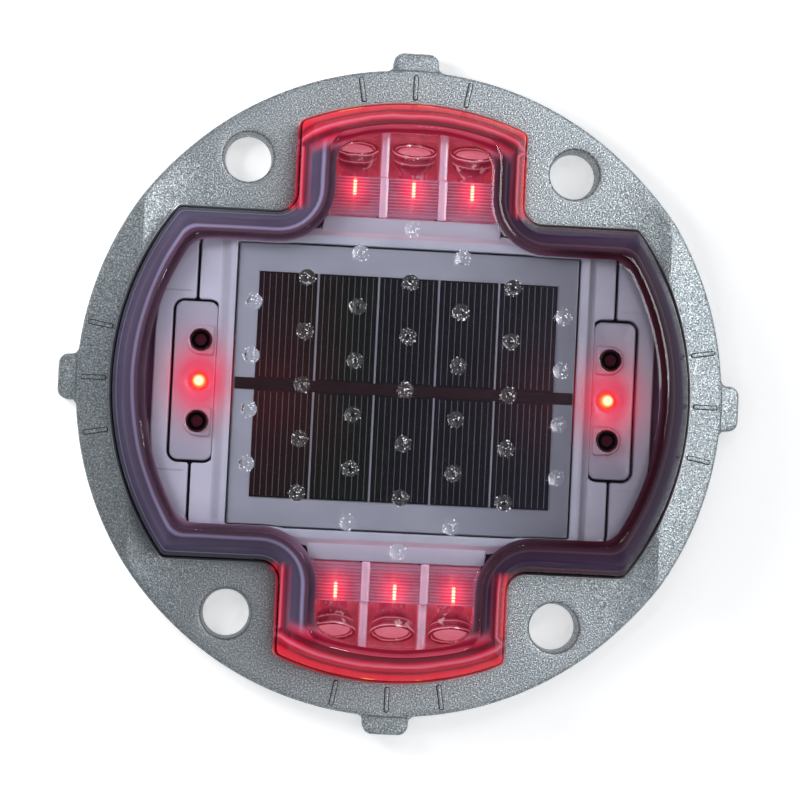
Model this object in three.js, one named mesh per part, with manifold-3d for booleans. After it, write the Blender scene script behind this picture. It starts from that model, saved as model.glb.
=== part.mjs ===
// A solar raised pavement marker: a die-cast aluminium flange ring bolted to the road, a clear
// stepped cover over a solar panel, three outward-facing lights at each end and one light in a
// pod at each side. Millimetres, +Z up, origin at the centre of the face that rests on the road.
// The two light windows face +Y (north) and -Y (south), the pods lie at +X (east) and -X (west).
import * as THREE from "three";
import { mergeVertices } from "three/addons/utils/BufferGeometryUtils.js";
import Module from "manifold-3d";

const wasm = await Module();
wasm.setup();

const { sin, cos, tan, atan2, acos, sqrt, PI } = Math;
const DEG = PI / 180;

// ---- Driving dimensions -------------------------------------------------------------------
const GAP = 0.3; // assembly clearance round a piece that drops into another

// Flange ring
const RIM_R = 71;
const PAD_Z = 6; // flat top round the bolt holes and in front of the light windows
const CREST_X = 58; // ridge of each raised side shoulder
const CREST_Z = 8.4;
const RAMP_START = 47 * DEG; // where the pad begins to climb towards the shoulder
const RAMP_POWER = 1.7;
const TAB_TIP = 75;
const TAB_W = 10;
const TAB_Z = 5.2;
const BOLT_X = 36;
const BOLT_Y = 50;
const BOLT_HOLE_R = 5.4;
const BOLT_CHAMFER = 0.5;
const TICK_STEP = 10 * DEG;
const TICK_W = 0.9;
const TICK_LIFT = 0.35;
const TICK_IN = 64.6;
const TICK_OUT = 69.8;
const LEDGE_BOTTOM = 2;
const LEDGE_TOP = 3.5;
const LEDGE_W = 3;

// Window outline: a circle with a square notch out of each corner
const WINDOW_R = 63.2;
const WING_Y = 38.1; // half width of the two side wings
const LAMP_X = 24.8; // half width of the two light windows
const NOTCH_FILLET = 4.4;
const CORNER_R = 1.2;

// Clear cover: [distance in from its outline, height] down its outside and its inside
const COVER_BOTTOM = 4.4;
const SHOULDER_Z = 9.6;
const RIDGE = [2.6, 16.6];
const DECK = [6, 21];
const COVER_WALL = 2.4;
const CAVITY_RIDGE = [4.8, 15.3];
const CAVITY_TOP = [7.6, 18.6];
const BUMP_R = 1.65;
const BUMP_H = 0.9;
const BUMP_DX = 11.05;
const BUMP_DY = 11.5;
const POST_R = 1.9;
const POST_BORE_R = 1.2;

// Base plate and its screws
const BASE_BOTTOM = 0.3;
const BASE_TOP = 1.8;
const SCREW_HEAD_R = 2.4;

// Pods and the white deck pieces round the panel
const POD_X = 45.2;
const POST_X = 44.1; // posts and side lights stand a little nearer the panel
const POD_W = 9;
const POD_L = 34;
const POD_CORNER = 1.8;
const POST_Y = 8.7;
const DECK_GAP = 0.6; // visible seam between the white pieces
const WHITE_BOTTOM = 12.2;
const WHITE_TOP = 15;
const CARRIER_R = 56.2; // the side carriers end on this circle,
const CARRIER_X = 54; // and on a straight edge beside the pod
const CARRIER_Y = 31.6;
const BEZEL_X = 39;
const BEZEL_Y = 31.6;
const BEZEL_TOP = 16.1;
const FRAME_Y = 32.6;
const RECESS_Z = 13.2;

// Solar panel
const PANEL_X = 73.4;
const PANEL_Y = 60.6;
const PANEL_T = 1.8;
const CELL_W = 12.5;
const CELL_H = 23;
const CELL_PITCH = 13;
const CELL_T = 0.3;
const MID_GAP = 2.5;
const COLUMNS = 5;

// Light windows
const LAMP_PITCH = 12.7;
const LAMP_TILT = 25 * DEG;
const LAMP_START = new THREE.Vector3(0, 42.6, 7.6); // base of the middle light
const BAY_Y = 37;
const BAY_FLOOR = 5.4;
const DIVIDER_W = 1.7;
const REFLECTOR_X = 18.8;
const RIB_PITCH = 0.7;
const RIBS = 12;
const RIB_H = 0.45;

// Electronics in the base
const BATTERY_R = 5.05;
const BATTERY_Z = BASE_TOP + 0.15 + BATTERY_R;
const BATTERY_L = 43;
const BATTERY_X = [15.4, 26.6];
const BOARD = { x0: -35, x1: 7, y0: -23, y1: 23, z0: 3.2, z1: 4.8 };

// ---- Materials ----------------------------------------------------------------------------
const material = (color, roughness, metalness, opacity = 1) =>
  new THREE.MeshStandardMaterial({ color, roughness, metalness, opacity, transparent: opacity < 1 });
const castAluminium = material(0x9aa3a8, 0.5, 0.9);
const clearPolycarbonate = material(0xcfc4de, 0.08, 0, 0.35);
const redLight = material(0xe8203c, 0.25, 0);
const whitePlastic = material(0xc9c6d6, 0.45, 0);
const panelWhite = material(0xaeb4c0, 0.35, 0);
const silicon = material(0x0c0f1c, 0.2, 0.3);
const ribbonMetal = material(0x2a2430, 0.4, 0.6);
const darkRubber = material(0x2a2036, 0.7, 0);
const baseGrey = material(0x3a3d42, 0.6, 0);
const boardGreen = material(0x1d5a34, 0.5, 0);
const boardWhite = material(0xe6e6e6, 0.5, 0);
const steel = material(0xb4b4b4, 0.35, 1);
const batteryGreen = material(0x2f7f58, 0.35, 0);
const chipBlack = material(0x161616, 0.5, 0);
const wireRed = material(0xb01818, 0.45, 0);
const wireBlack = material(0x141414, 0.45, 0);

// ---- Solid helpers ------------------------------------------------------------------------
function toSolid(geometry) {
  const bare = geometry.index ? geometry.toNonIndexed() : geometry.clone();
  bare.deleteAttribute("normal");
  bare.deleteAttribute("uv");
  const merged = mergeVertices(bare, 1e-4);
  return new wasm.Manifold(
    new wasm.Mesh({
      numProp: 3,
      vertProperties: merged.attributes.position.array,
      triVerts: new Uint32Array(merged.index.array),
    }),
  );
}

function toGeometry(solid) {
  const mesh = solid.getMesh();
  const geometry = new THREE.BufferGeometry();
  geometry.setAttribute("position", new THREE.BufferAttribute(mesh.vertProperties.slice(), 3));
  geometry.setIndex(new THREE.BufferAttribute(mesh.triVerts.slice(), 1));
  geometry.computeVertexNormals();
  return geometry;
}

const join = (...solids) => solids.flat().reduce((all, next) => all.add(next));
const cut = (solid, ...tools) => tools.flat().reduce((left, tool) => left.subtract(tool), solid);
const placed = (geometry, x, y, z) => toSolid(geometry.translate(x, y, z));

// A flat outline, as points or a Shape, raised from z0 to z1.
function prismGeometry(outline, z0, z1) {
  const shape = Array.isArray(outline) ? new THREE.Shape(outline) : outline;
  const geometry = new THREE.ExtrudeGeometry(shape, {
    depth: z1 - z0,
    bevelEnabled: false,
    curveSegments: 6,
  });
  return geometry.translate(0, 0, z0);
}
const prism = (outline, z0, z1) => toSolid(prismGeometry(outline, z0, z1));

function block(x0, x1, y0, y1, z0, z1) {
  const box = new THREE.BoxGeometry(x1 - x0, y1 - y0, z1 - z0);
  return placed(box, (x0 + x1) / 2, (y0 + y1) / 2, (z0 + z1) / 2);
}

// A cylinder or cone standing on z0.
function post(x, y, z0, z1, bottomR, topR = bottomR, sides = 20) {
  const cylinder = new THREE.CylinderGeometry(topR, bottomR, z1 - z0, sides);
  return placed(cylinder.rotateX(PI / 2), x, y, (z0 + z1) / 2);
}

// A closed solid through rings of points that all have the same count, first ring lowest.
function loft(rings) {
  const count = rings[0].length;
  const positions = rings.flat().flatMap((p) => [p.x, p.y, p.z]);
  const index = [];
  for (let level = 0; level + 1 < rings.length; level++) {
    for (let i = 0; i < count; i++) {
      const next = (i + 1) % count;
      const [a, b] = [level * count + i, level * count + next];
      index.push(a, b, b + count, a, b + count, a + count);
    }
  }
  const flat = (ring) => ring.map((p) => new THREE.Vector2(p.x, p.y));
  for (const [a, b, c] of THREE.ShapeUtils.triangulateShape(flat(rings[0]), [])) index.push(a, c, b);
  const top = (rings.length - 1) * count;
  for (const [a, b, c] of THREE.ShapeUtils.triangulateShape(flat(rings.at(-1)), [])) {
    index.push(top + a, top + b, top + c);
  }
  const geometry = new THREE.BufferGeometry();
  geometry.setAttribute("position", new THREE.Float32BufferAttribute(positions, 3));
  geometry.setIndex(index);
  return toSolid(geometry);
}

// ---- Outlines -----------------------------------------------------------------------------
// Points on an arc about (x, y), both ends included.
function arc(x, y, radius, from, to, steps) {
  return Array.from({ length: steps + 1 }, (_, i) => {
    const a = from + ((to - from) * i) / steps;
    return new THREE.Vector2(x + radius * cos(a), y + radius * sin(a));
  });
}

// The four mirror images of a run of points that goes from the +X axis to the +Y axis.
function mirroredLoop(quarter) {
  const flipX = quarter.map((p) => new THREE.Vector2(-p.x, p.y)).reverse();
  const upper = [...quarter, ...flipX];
  const lower = upper.map((p) => new THREE.Vector2(p.x, -p.y)).reverse();
  return [...upper, ...lower].filter((p, i, all) => p.distanceTo(all.at(i - 1)) > 1e-6);
}

// The window outline moved inwards by inset, with its outer corners rounded to cornerR.
function windowOutline(inset, cornerR = CORNER_R + inset * 0.6) {
  const r = WINDOW_R - inset;
  const wing = WING_Y - inset;
  const lamp = LAMP_X - inset;
  const fillet = NOTCH_FILLET + inset;
  const wingCornerY = wing - cornerR;
  const wingCornerX = sqrt((r - cornerR) ** 2 - wingCornerY ** 2);
  const lampCornerX = lamp - cornerR;
  const lampCornerY = sqrt((r - cornerR) ** 2 - lampCornerX ** 2);
  const wingAngle = atan2(wingCornerY, wingCornerX);
  const lampAngle = atan2(lampCornerY, lampCornerX);
  return mirroredLoop([
    ...arc(0, 0, r, 0, wingAngle, 6),
    ...arc(wingCornerX, wingCornerY, cornerR, wingAngle, PI / 2, 2).slice(1),
    ...arc(lamp + fillet, wing + fillet, fillet, 1.5 * PI, PI, 4),
    ...arc(lampCornerX, lampCornerY, cornerR, 0, lampAngle, 2),
    ...arc(0, 0, r, lampAngle, PI / 2, 4).slice(1),
  ]);
}

const windowPrism = (inset, z0, z1) => prism(windowOutline(inset), z0, z1);
const windowRing = (inset, z) => windowOutline(inset).map((p) => new THREE.Vector3(p.x, p.y, z));

// A rectangle with round corners, centred on (x, y).
function roundRect(x, y, width, height, radius, steps = 4) {
  const [w, h] = [width / 2 - radius, height / 2 - radius];
  return [
    ...arc(x + w, y + h, radius, 0, PI / 2, steps),
    ...arc(x - w, y + h, radius, PI / 2, PI, steps),
    ...arc(x - w, y - h, radius, PI, 1.5 * PI, steps),
    ...arc(x + w, y - h, radius, 1.5 * PI, 2 * PI, steps),
  ];
}

const BOLTS = [-1, 1].flatMap((sx) => [-1, 1].map((sy) => [sx * BOLT_X, sy * BOLT_Y]));
const POSTS = [-1, 1].flatMap((sx) => [-1, 1].map((sy) => [sx * POST_X, sy * POST_Y]));

// ---- Flange ring --------------------------------------------------------------------------
// Height of the climbing face, at a share from the pad's end (0) to the shoulder's ridge (1).
const rampZ = (share) => PAD_Z + (CREST_Z - PAD_Z) * share ** RAMP_POWER;

// One climbing face as a solid, in the quadrant given by the two signs: a fan that turns from a
// radial line beside the bolt hole to the shoulder's ridge as it rises.
function ramp(signX, signY, lift) {
  const steps = 5;
  const sections = [];
  for (let i = 0; i <= steps; i++) {
    const share = i / steps;
    const [inner, outer] = [RIM_R - 14, RIM_R + 6].map((r) => {
      const crest = new THREE.Vector2(CREST_X, sqrt(Math.max(r * r - CREST_X ** 2, 0)));
      return new THREE.Vector2(r * cos(RAMP_START), r * sin(RAMP_START)).lerp(crest, share);
    });
    const corner = (p, z) => new THREE.Vector3(p.x * signX, p.y * signY, z);
    const top = rampZ(share) + lift;
    sections.push([corner(inner, 1), corner(outer, 1), corner(outer, top), corner(inner, top)]);
  }
  return strip(signX * signY > 0 ? sections.reverse() : sections);
}

// A closed solid along four-cornered sections.
function strip(sections) {
  const positions = sections.flat().flatMap((p) => [p.x, p.y, p.z]);
  const index = [];
  for (let s = 0; s + 1 < sections.length; s++) {
    for (let i = 0; i < 4; i++) {
      const next = (i + 1) % 4;
      const [a, b] = [s * 4 + i, s * 4 + next];
      index.push(a, b + 4, b, a, a + 4, b + 4);
    }
  }
  const last = (sections.length - 1) * 4;
  index.push(0, 1, 2, 0, 2, 3, last, last + 2, last + 1, last, last + 3, last + 2);
  const geometry = new THREE.BufferGeometry();
  geometry.setAttribute("position", new THREE.Float32BufferAttribute(positions, 3));
  geometry.setIndex(index);
  return toSolid(geometry);
}

// A raised side shoulder: its ridge runs along Y and its face falls to the rim.
function shoulder(sign, lift) {
  const reach = RIM_R + 6;
  const fall = (CREST_Z - PAD_Z) / (RIM_R - CREST_X);
  const profile = [
    [CREST_X, 0],
    [reach, 0],
    [reach, CREST_Z - fall * (reach - CREST_X) + lift],
    [CREST_X, CREST_Z + lift],
  ].map(([x, z]) => new THREE.Vector2(x, z));
  const length = 2 * RIM_R;
  const geometry = new THREE.ExtrudeGeometry(new THREE.Shape(profile), {
    depth: length,
    bevelEnabled: false,
  });
  geometry.rotateX(PI / 2).translate(0, length / 2, 0);
  if (sign < 0) geometry.rotateZ(PI);
  return toSolid(geometry);
}

// Everything under the flange's top face, raised by lift.
function underCrown(lift) {
  const reach = RIM_R + 6;
  const pad = block(-CREST_X, CREST_X, -reach, reach, 0, PAD_Z + lift);
  const ramps = [-1, 1].flatMap((sx) => [-1, 1].map((sy) => ramp(sx, sy, lift)));
  return join(pad, ramps, shoulder(-1, lift), shoulder(1, lift));
}

function makeHousing() {
  const disc = prism(arc(0, 0, RIM_R, 0, 2 * PI, 72).slice(1), 0, CREST_Z + 2);
  const crown = disc.intersect(underCrown(0));
  const tabs = [0, 1, 2, 3].map((turn) => {
    const length = TAB_TIP - RIM_R + 2;
    const outline = roundRect(0, TAB_TIP - length / 2, TAB_W, length, 1.4, 2);
    return toSolid(prismGeometry(outline, 0, TAB_Z).rotateZ((turn * PI) / 2));
  });
  const tickBar = (angle) =>
    toSolid(
      new THREE.BoxGeometry(TICK_OUT - TICK_IN, TICK_W, CREST_Z + 2)
        .translate((TICK_IN + TICK_OUT) / 2, 0, CREST_Z / 2 + 1)
        .rotateZ(angle),
    );
  const tickAngles = [0, 1, 2, 3].flatMap((turn) =>
    [-1, 0, 1].map((step) => (turn * PI) / 2 + step * TICK_STEP),
  );
  const ticks = join(tickAngles.map(tickBar)).intersect(underCrown(TICK_LIFT));
  const bolts = BOLTS.flatMap(([x, y]) => [
    post(x, y, -1, PAD_Z + 1, BOLT_HOLE_R, BOLT_HOLE_R, 20),
    post(x, y, PAD_Z - BOLT_CHAMFER, PAD_Z + 1, BOLT_HOLE_R, BOLT_HOLE_R + 3 * BOLT_CHAMFER, 20),
  ]);
  return cut(
    join(crown, tabs, ticks),
    bolts,
    windowPrism(0, LEDGE_TOP, CREST_Z + 3),
    windowPrism(LEDGE_W, -1, CREST_Z + 3),
    windowPrism(0, -1, LEDGE_BOTTOM),
  );
}

// ---- Clear cover and what seals it --------------------------------------------------------
// Places of the grip bumps: each column away from the middle ends half a step sooner.
function bumpPlaces() {
  const places = [];
  for (let column = -3; column <= 3; column++) {
    const end = 3 - Math.abs(column) / 2;
    for (let row = -end; row <= end; row++) places.push([column * BUMP_DX, row * BUMP_DY]);
  }
  return places;
}

function bump([x, y]) {
  const profile = [
    [0, -0.4],
    [BUMP_R * 1.2, -0.4],
    [BUMP_R * 0.6, BUMP_H],
    [0, BUMP_H],
  ].map(([r, z]) => new THREE.Vector2(r, z));
  return placed(new THREE.LatheGeometry(profile, 8).rotateX(PI / 2), x, y, DECK[1]);
}

function makeCover() {
  const outside = loft([
    windowRing(GAP, COVER_BOTTOM),
    windowRing(GAP, SHOULDER_Z),
    windowRing(GAP + RIDGE[0], RIDGE[1]),
    windowRing(GAP + DECK[0], DECK[1]),
  ]);
  const cavity = loft([
    windowRing(GAP + COVER_WALL, COVER_BOTTOM - 1),
    windowRing(GAP + COVER_WALL, SHOULDER_Z - 0.4),
    windowRing(GAP + CAVITY_RIDGE[0], CAVITY_RIDGE[1]),
    windowRing(GAP + CAVITY_TOP[0], CAVITY_TOP[1]),
  ]);
  const posts = POSTS.map(([x, y]) => post(x, y, BASE_TOP + 0.1, CAVITY_TOP[1] + 0.5, POST_R, POST_R, 14));
  const bores = POSTS.map(([x, y]) => post(x, y, 0, CAVITY_TOP[1] - 2, POST_BORE_R, POST_BORE_R, 10));
  return cut(join(cut(outside, cavity), posts, bumpPlaces().map(bump)), bores);
}

function makeGasket() {
  const band = windowPrism(GAP, LEDGE_TOP + 0.05, COVER_BOTTOM - 0.05);
  return cut(band, windowPrism(GAP + COVER_WALL, 0, 10));
}

function makeBasePlate() {
  const plate = windowPrism(GAP, BASE_BOTTOM, BASE_TOP);
  const drill = POSTS.flatMap(([x, y]) => [
    post(x, y, 0, BASE_TOP + 1, 1.3, 1.3, 14),
    post(x, y, BASE_BOTTOM - 0.1, BASE_BOTTOM + 1.35, SCREW_HEAD_R + 0.4, 1.3, 14),
  ]);
  const spigots = boardCorners().map(([x, y]) => post(x, y, BASE_TOP - 0.2, BOARD.z0 - 0.1, 2, 2, 12));
  const taps = boardCorners().map(([x, y]) => post(x, y, BASE_BOTTOM + 0.6, BOARD.z0 + 1, 0.9, 0.9, 10));
  return cut(join(plate, spigots), drill, taps);
}

// Countersunk screw, head down at z0 and tip up.
function makeScrew(x, y, z0, length, headR, shankR) {
  const profile = [
    [0, 0],
    [headR, 0],
    [headR, 0.15],
    [shankR, 1.2],
    [shankR, length - 1],
    [0, length],
  ].map(([r, z]) => new THREE.Vector2(r, z));
  const body = placed(new THREE.LatheGeometry(profile, 10).rotateX(PI / 2), x, y, z0);
  const slots = [0, 1].map((turn) =>
    toSolid(
      new THREE.BoxGeometry(headR * 1.2, headR * 0.24, 1)
        .rotateZ((turn * PI) / 2)
        .translate(x, y, z0),
    ),
  );
  return cut(body, slots);
}

// ---- White deck pieces --------------------------------------------------------------------
const podOutline = (sign, margin) =>
  roundRect(sign * POD_X, 0, POD_W + 2 * margin, POD_L + 2 * margin, POD_CORNER + margin);
const podHole = (sign) => prism(podOutline(sign, DECK_GAP), 0, 30);

// The frame that holds the panel: a tray with a raised bezel, notched round the two pods.
function makePanelFrame() {
  const half = POD_X - DECK_GAP / 2;
  const plate = block(-half, half, -FRAME_Y, FRAME_Y, WHITE_BOTTOM, WHITE_TOP);
  const bezel = block(-BEZEL_X, BEZEL_X, -BEZEL_Y, BEZEL_Y, WHITE_TOP - 1, BEZEL_TOP);
  const [px, py] = [PANEL_X / 2 + 0.4, PANEL_Y / 2 + 0.4];
  const recess = block(-px, px, -py, py, RECESS_Z, 30);
  const wireSlot = block(-32, -26, -3, 3, 0, RECESS_Z + 1);
  return cut(join(plate, bezel), recess, wireSlot, podHole(-1), podHole(1));
}

function makeSideCarrier(sign) {
  const inner = POD_X + DECK_GAP / 2;
  const side = block(inner, CARRIER_X, -CARRIER_Y, CARRIER_Y, WHITE_BOTTOM, WHITE_TOP);
  const solid = side.intersect(post(0, 0, 0, 30, CARRIER_R, CARRIER_R, 96));
  return cut(sign > 0 ? solid : solid.rotate([0, 0, 180]), podHole(sign));
}

// A pod's cover plate: a raised D-shaped boss round each of the cover's posts, a hole for the light.
function makePodPlate(sign) {
  const x = sign * POST_X;
  const plate = prism(podOutline(sign, 0), WHITE_BOTTOM + 0.6, WHITE_TOP + 0.4);
  const bosses = [-1, 1].map((s) => {
    const flat = sign * (POD_X - POD_W / 2 + 0.4);
    const [x0, x1] = [Math.min(flat, x), Math.max(flat, x)];
    const pad = block(x0, x1, s * POST_Y - 3, s * POST_Y + 3, WHITE_TOP, WHITE_TOP + 0.9);
    return join(pad, post(x, s * POST_Y, WHITE_TOP, WHITE_TOP + 0.9, 3, 3, 16));
  });
  const holes = [-1, 1].map((s) => post(x, s * POST_Y, 0, 30, POST_R + GAP, POST_R + GAP, 14));
  return cut(join(plate, bosses), holes, post(x, 0, 0, 30, 2.1, 2.1, 14));
}

// ---- Side lights --------------------------------------------------------------------------
function makeSideBoard(sign) {
  const x = sign * POST_X;
  const board = prism(roundRect(sign * POD_X, 0, POD_W - 1, POD_L - 4, 1, 2), 11.8, 12.7);
  const holes = [-1, 1].map((s) => post(x, s * POST_Y, 0, 30, POST_R + GAP, POST_R + GAP, 14));
  return cut(board, holes);
}

function makeSideLed(sign) {
  const profile = [
    [0, 12.8],
    [1.7, 12.8],
    [1.7, 15],
    [1.1, 15.9],
    [0, 16.2],
  ].map(([r, z]) => new THREE.Vector2(r, z));
  return placed(new THREE.LatheGeometry(profile, 12).rotateX(PI / 2), sign * POST_X, 0, 0);
}

// ---- Solar panel --------------------------------------------------------------------------
const PANEL_Z = RECESS_Z + 0.1;
const CELL_Z = PANEL_Z + PANEL_T + 0.05;

const makePanelBoard = () =>
  block(-PANEL_X / 2, PANEL_X / 2, -PANEL_Y / 2, PANEL_Y / 2, PANEL_Z, PANEL_Z + PANEL_T);

// Five cells in a row, joined by thin ribbons from one to the next.
function makeCellString(sign) {
  const y0 = sign > 0 ? MID_GAP / 2 : -MID_GAP / 2 - CELL_H;
  const cells = Array.from({ length: COLUMNS }, (_, i) => {
    const x = (i - (COLUMNS - 1) / 2) * CELL_PITCH;
    return block(x - CELL_W / 2, x + CELL_W / 2, y0, y0 + CELL_H, CELL_Z, CELL_Z + CELL_T);
  });
  const reach = ((COLUMNS - 1) / 2) * CELL_PITCH;
  const ribbon = block(-reach, reach, y0 + CELL_H / 2 - 0.8, y0 + CELL_H / 2 + 0.8, CELL_Z, CELL_Z + 0.15);
  return join(...cells, ribbon);
}

const makeBusRibbon = () =>
  block(-PANEL_X / 2 + 0.4, PANEL_X / 2 - 0.4, -0.95, 0.95, CELL_Z, CELL_Z + 0.2);

// ---- Light windows, modelled for the north side -------------------------------------------
// The white trough behind a light window: a flat deck by the panel, then three open bays.
function makeReflector() {
  const deckTop = WHITE_TOP + 0.3;
  const y0 = FRAME_Y + DECK_GAP;
  const floorR = WINDOW_R - 4.4;
  const floor = block(-REFLECTOR_X, REFLECTOR_X, BAY_Y - 1, RIM_R, BAY_FLOOR - 1, BAY_FLOOR).intersect(
    post(0, 0, 0, 30, floorR, floorR, 96),
  );
  const wallTop = WHITE_TOP - 0.8;
  const wallEnd = 54;
  const walls = [-1, 1].map((s) => {
    const [x0, x1] = s < 0 ? [-REFLECTOR_X, -REFLECTOR_X + 0.8] : [REFLECTOR_X - 0.8, REFLECTOR_X];
    return block(x0, x1, BAY_Y - 1, wallEnd, BAY_FLOOR - 1, wallTop);
  });
  const dividers = [-1, 1].map((s) => {
    const x = (s * LAMP_PITCH) / 2;
    return block(x - DIVIDER_W / 2, x + DIVIDER_W / 2, BAY_Y - 1, wallEnd + 1.2, BAY_FLOOR - 1, wallTop);
  });
  const deck = block(-REFLECTOR_X, REFLECTOR_X, y0, BAY_Y, deckTop - 1.2, deckTop);
  const back = block(-REFLECTOR_X, REFLECTOR_X, BAY_Y - 1.2, BAY_Y, BAY_FLOOR - 1, deckTop);
  return cut(join(floor, ...walls, ...dividers, deck, back), ledBoardBlank(GAP));
}

// The clear window over the lights: fine ribs across each bay, plain bands over the dividers.
function makePrismWindow() {
  const [y0, z0] = [BAY_Y + 0.3, WHITE_TOP - 0.6];
  const y1 = y0 + RIBS * RIB_PITCH;
  const top = z0 + 1;
  const half = REFLECTOR_X - 0.4;
  const sawtooth = [new THREE.Vector2(y0, z0)];
  for (let i = 0; i < RIBS; i++) {
    sawtooth.push(new THREE.Vector2(y0 + i * RIB_PITCH, top));
    sawtooth.push(new THREE.Vector2(y0 + (i + 0.75) * RIB_PITCH, top + RIB_H));
  }
  sawtooth.push(new THREE.Vector2(y1, top), new THREE.Vector2(y1, z0));
  const geometry = new THREE.ExtrudeGeometry(new THREE.Shape(sawtooth.reverse()), {
    depth: 2 * half,
    bevelEnabled: false,
  });
  geometry.applyMatrix4(
    new THREE.Matrix4().makeBasis(
      new THREE.Vector3(0, 1, 0),
      new THREE.Vector3(0, 0, 1),
      new THREE.Vector3(1, 0, 0),
    ),
  );
  geometry.translate(-half, 0, 0);
  const bands = [-1, 1].map((s) => {
    const x = (s * LAMP_PITCH) / 2;
    return block(x - DIVIDER_W / 2, x + DIVIDER_W / 2, y0, y1, z0, top + RIB_H);
  });
  return join(toSolid(geometry), ...bands);
}

// Puts a lathe whose profile runs along +Z onto the tilted line of light number slot (-1, 0, 1).
function onLampLine(profile, slot, sides) {
  const points = profile.map(([r, along]) => new THREE.Vector2(r, along));
  const geometry = new THREE.LatheGeometry(points, sides);
  geometry.rotateX(LAMP_TILT);
  geometry.translate(LAMP_START.x + slot * LAMP_PITCH, LAMP_START.y, LAMP_START.z);
  return toSolid(geometry);
}

const makeLed = (slot) =>
  onLampLine(
    [
      [0, 0],
      [2.3, 0],
      [2.3, 0.9],
      [1.9, 0.9],
      [1.9, 3.6],
      [1.2, 5],
      [0, 5.3],
    ],
    slot,
    10,
  );

// A collimator: hollow round the light's tip, flaring to a wide flat face with a rim.
const makeCollimator = (slot) =>
  onLampLine(
    [
      [0, 6.2],
      [2.3, 5.4],
      [2.4, 3.6],
      [2.9, 3.6],
      [3.1, 6],
      [4.2, 7.6],
      [4.7, 9.2],
      [4.9, 10.4],
      [4.9, 11],
      [4.2, 11],
      [3.9, 10.6],
      [0, 10.6],
    ],
    slot,
    16,
  );

// The tilted strip of board the three lights stand on, grown by margin on every side.
function ledBoardBlank(margin) {
  const half = REFLECTOR_X - 1.4;
  const box = new THREE.BoxGeometry(2 * (half + margin), 0.8 + 2 * margin, 5.2 + 2 * margin);
  box.translate(0, -0.6, 0).rotateX(LAMP_TILT);
  return placed(box, 0, LAMP_START.y, LAMP_START.z);
}

// ---- Electronics --------------------------------------------------------------------------
function boardCorners() {
  const inset = 3;
  return [BOARD.x0 + inset, BOARD.x1 - inset].flatMap((x) =>
    [BOARD.y0 + inset, BOARD.y1 - inset].map((y) => [x, y]),
  );
}

function makeMainBoard() {
  const plate = block(BOARD.x0, BOARD.x1, BOARD.y0, BOARD.y1, BOARD.z0, BOARD.z1);
  return cut(plate, boardCorners().map(([x, y]) => post(x, y, 0, 10, 1.1, 1.1, 10)));
}

// Pan-head screw that holds the board: head above, tip down.
function makeBoardScrew([x, y]) {
  const head = post(x, y, BOARD.z1 + 0.05, BOARD.z1 + 1.2, 1.9, 1.5, 10);
  const shank = post(x, y, BASE_TOP - 0.4, BOARD.z1 + 0.2, 0.75, 0.75, 8);
  const slot = block(x - 1.2, x + 1.2, y - 0.22, y + 0.22, BOARD.z1 + 0.8, BOARD.z1 + 2);
  return cut(join(head, shank), slot);
}

function makeBattery(x) {
  const half = BATTERY_L / 2;
  const profile = [
    [0, -half],
    [BATTERY_R - 0.5, -half],
    [BATTERY_R, -half + 0.5],
    [BATTERY_R, half - 0.5],
    [BATTERY_R - 0.5, half],
    [1.8, half],
    [1.8, half + 0.9],
    [0, half + 0.9],
  ].map(([r, y]) => new THREE.Vector2(r, y));
  return placed(new THREE.LatheGeometry(profile, 16), x, 0, BATTERY_Z);
}

function makeNickelStrip() {
  const y = -BATTERY_L / 2 - 0.45;
  const z = BATTERY_Z;
  return block(BATTERY_X[0] - 2, BATTERY_X[1] + 2, y - 0.3, y, z - 1.5, z + 1.5);
}

const makeChip = () => block(-20, -14, -2.5, 2.5, BOARD.z1 + 0.1, BOARD.z1 + 1.8);
const makeInductor = () => post(-8, 12, BOARD.z1 + 0.1, BOARD.z1 + 4.2, 3.4, 3.4, 16);
const makeCapacitor = () => post(-24, 12, BOARD.z1 + 0.1, BOARD.z1 + 6.4, 2.9, 2.9, 16);

// A wire of the given radius along a smooth line through its points, in mm.
function makeWire(points, radius) {
  const path = new THREE.CatmullRomCurve3(points.map((p) => new THREE.Vector3(...p)));
  const section = new THREE.Shape(arc(0, 0, radius, 0, 2 * PI, 6).slice(1));
  const steps = Math.max(8, Math.round(path.getLength() / (radius * 6)));
  return toSolid(new THREE.ExtrudeGeometry(section, { steps, extrudePath: path, bevelEnabled: false }));
}

const boardTop = BOARD.z1 + 1;
const WIRES = {
  panel_wire_red: [
    [-30.5, 1.5, 13],
    [-30.5, 1.8, 10],
    [-30, 3.5, 7],
    [-28.5, 5, boardTop],
  ],
  panel_wire_black: [
    [-28, -1.5, 13],
    [-28, -1.8, 10],
    [-28.5, -3.5, 7],
    [-29.5, -5, boardTop],
  ],
  battery_wire_red: [
    [BATTERY_X[0], 23.9, 7.2],
    [14.5, 26, 7],
    [9, 26.5, 6.4],
    [3.2, 25.8, 6.4],
    [0, 22, 6.2],
    [-0.5, 18, boardTop],
  ],
  battery_wire_black: [
    [BATTERY_X[1], 23.9, 7.2],
    [25.5, 28, 6.8],
    [14, 29, 6],
    [3, 28.6, 5.8],
    [-5, 26.2, 5.9],
    [-6, 20, boardTop],
  ],
  north_lamp_wire: [
    [-9.5, 37.4, 3.4],
    [-11, 34, 3.1],
    [-13, 29, 3.6],
    [-14, 25, 6],
    [-14.5, 20, boardTop],
  ],
  south_lamp_wire: [
    [-9.5, -37.4, 3.4],
    [-11, -34, 3.1],
    [-13, -29, 3.6],
    [-14, -25, 6],
    [-14.5, -20, boardTop],
  ],
};

// ---- Assembly -----------------------------------------------------------------------------
const marker = new THREE.Group();

function add(name, solid, surface) {
  const mesh = new THREE.Mesh(toGeometry(solid), surface);
  mesh.name = name;
  marker.add(mesh);
}

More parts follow.
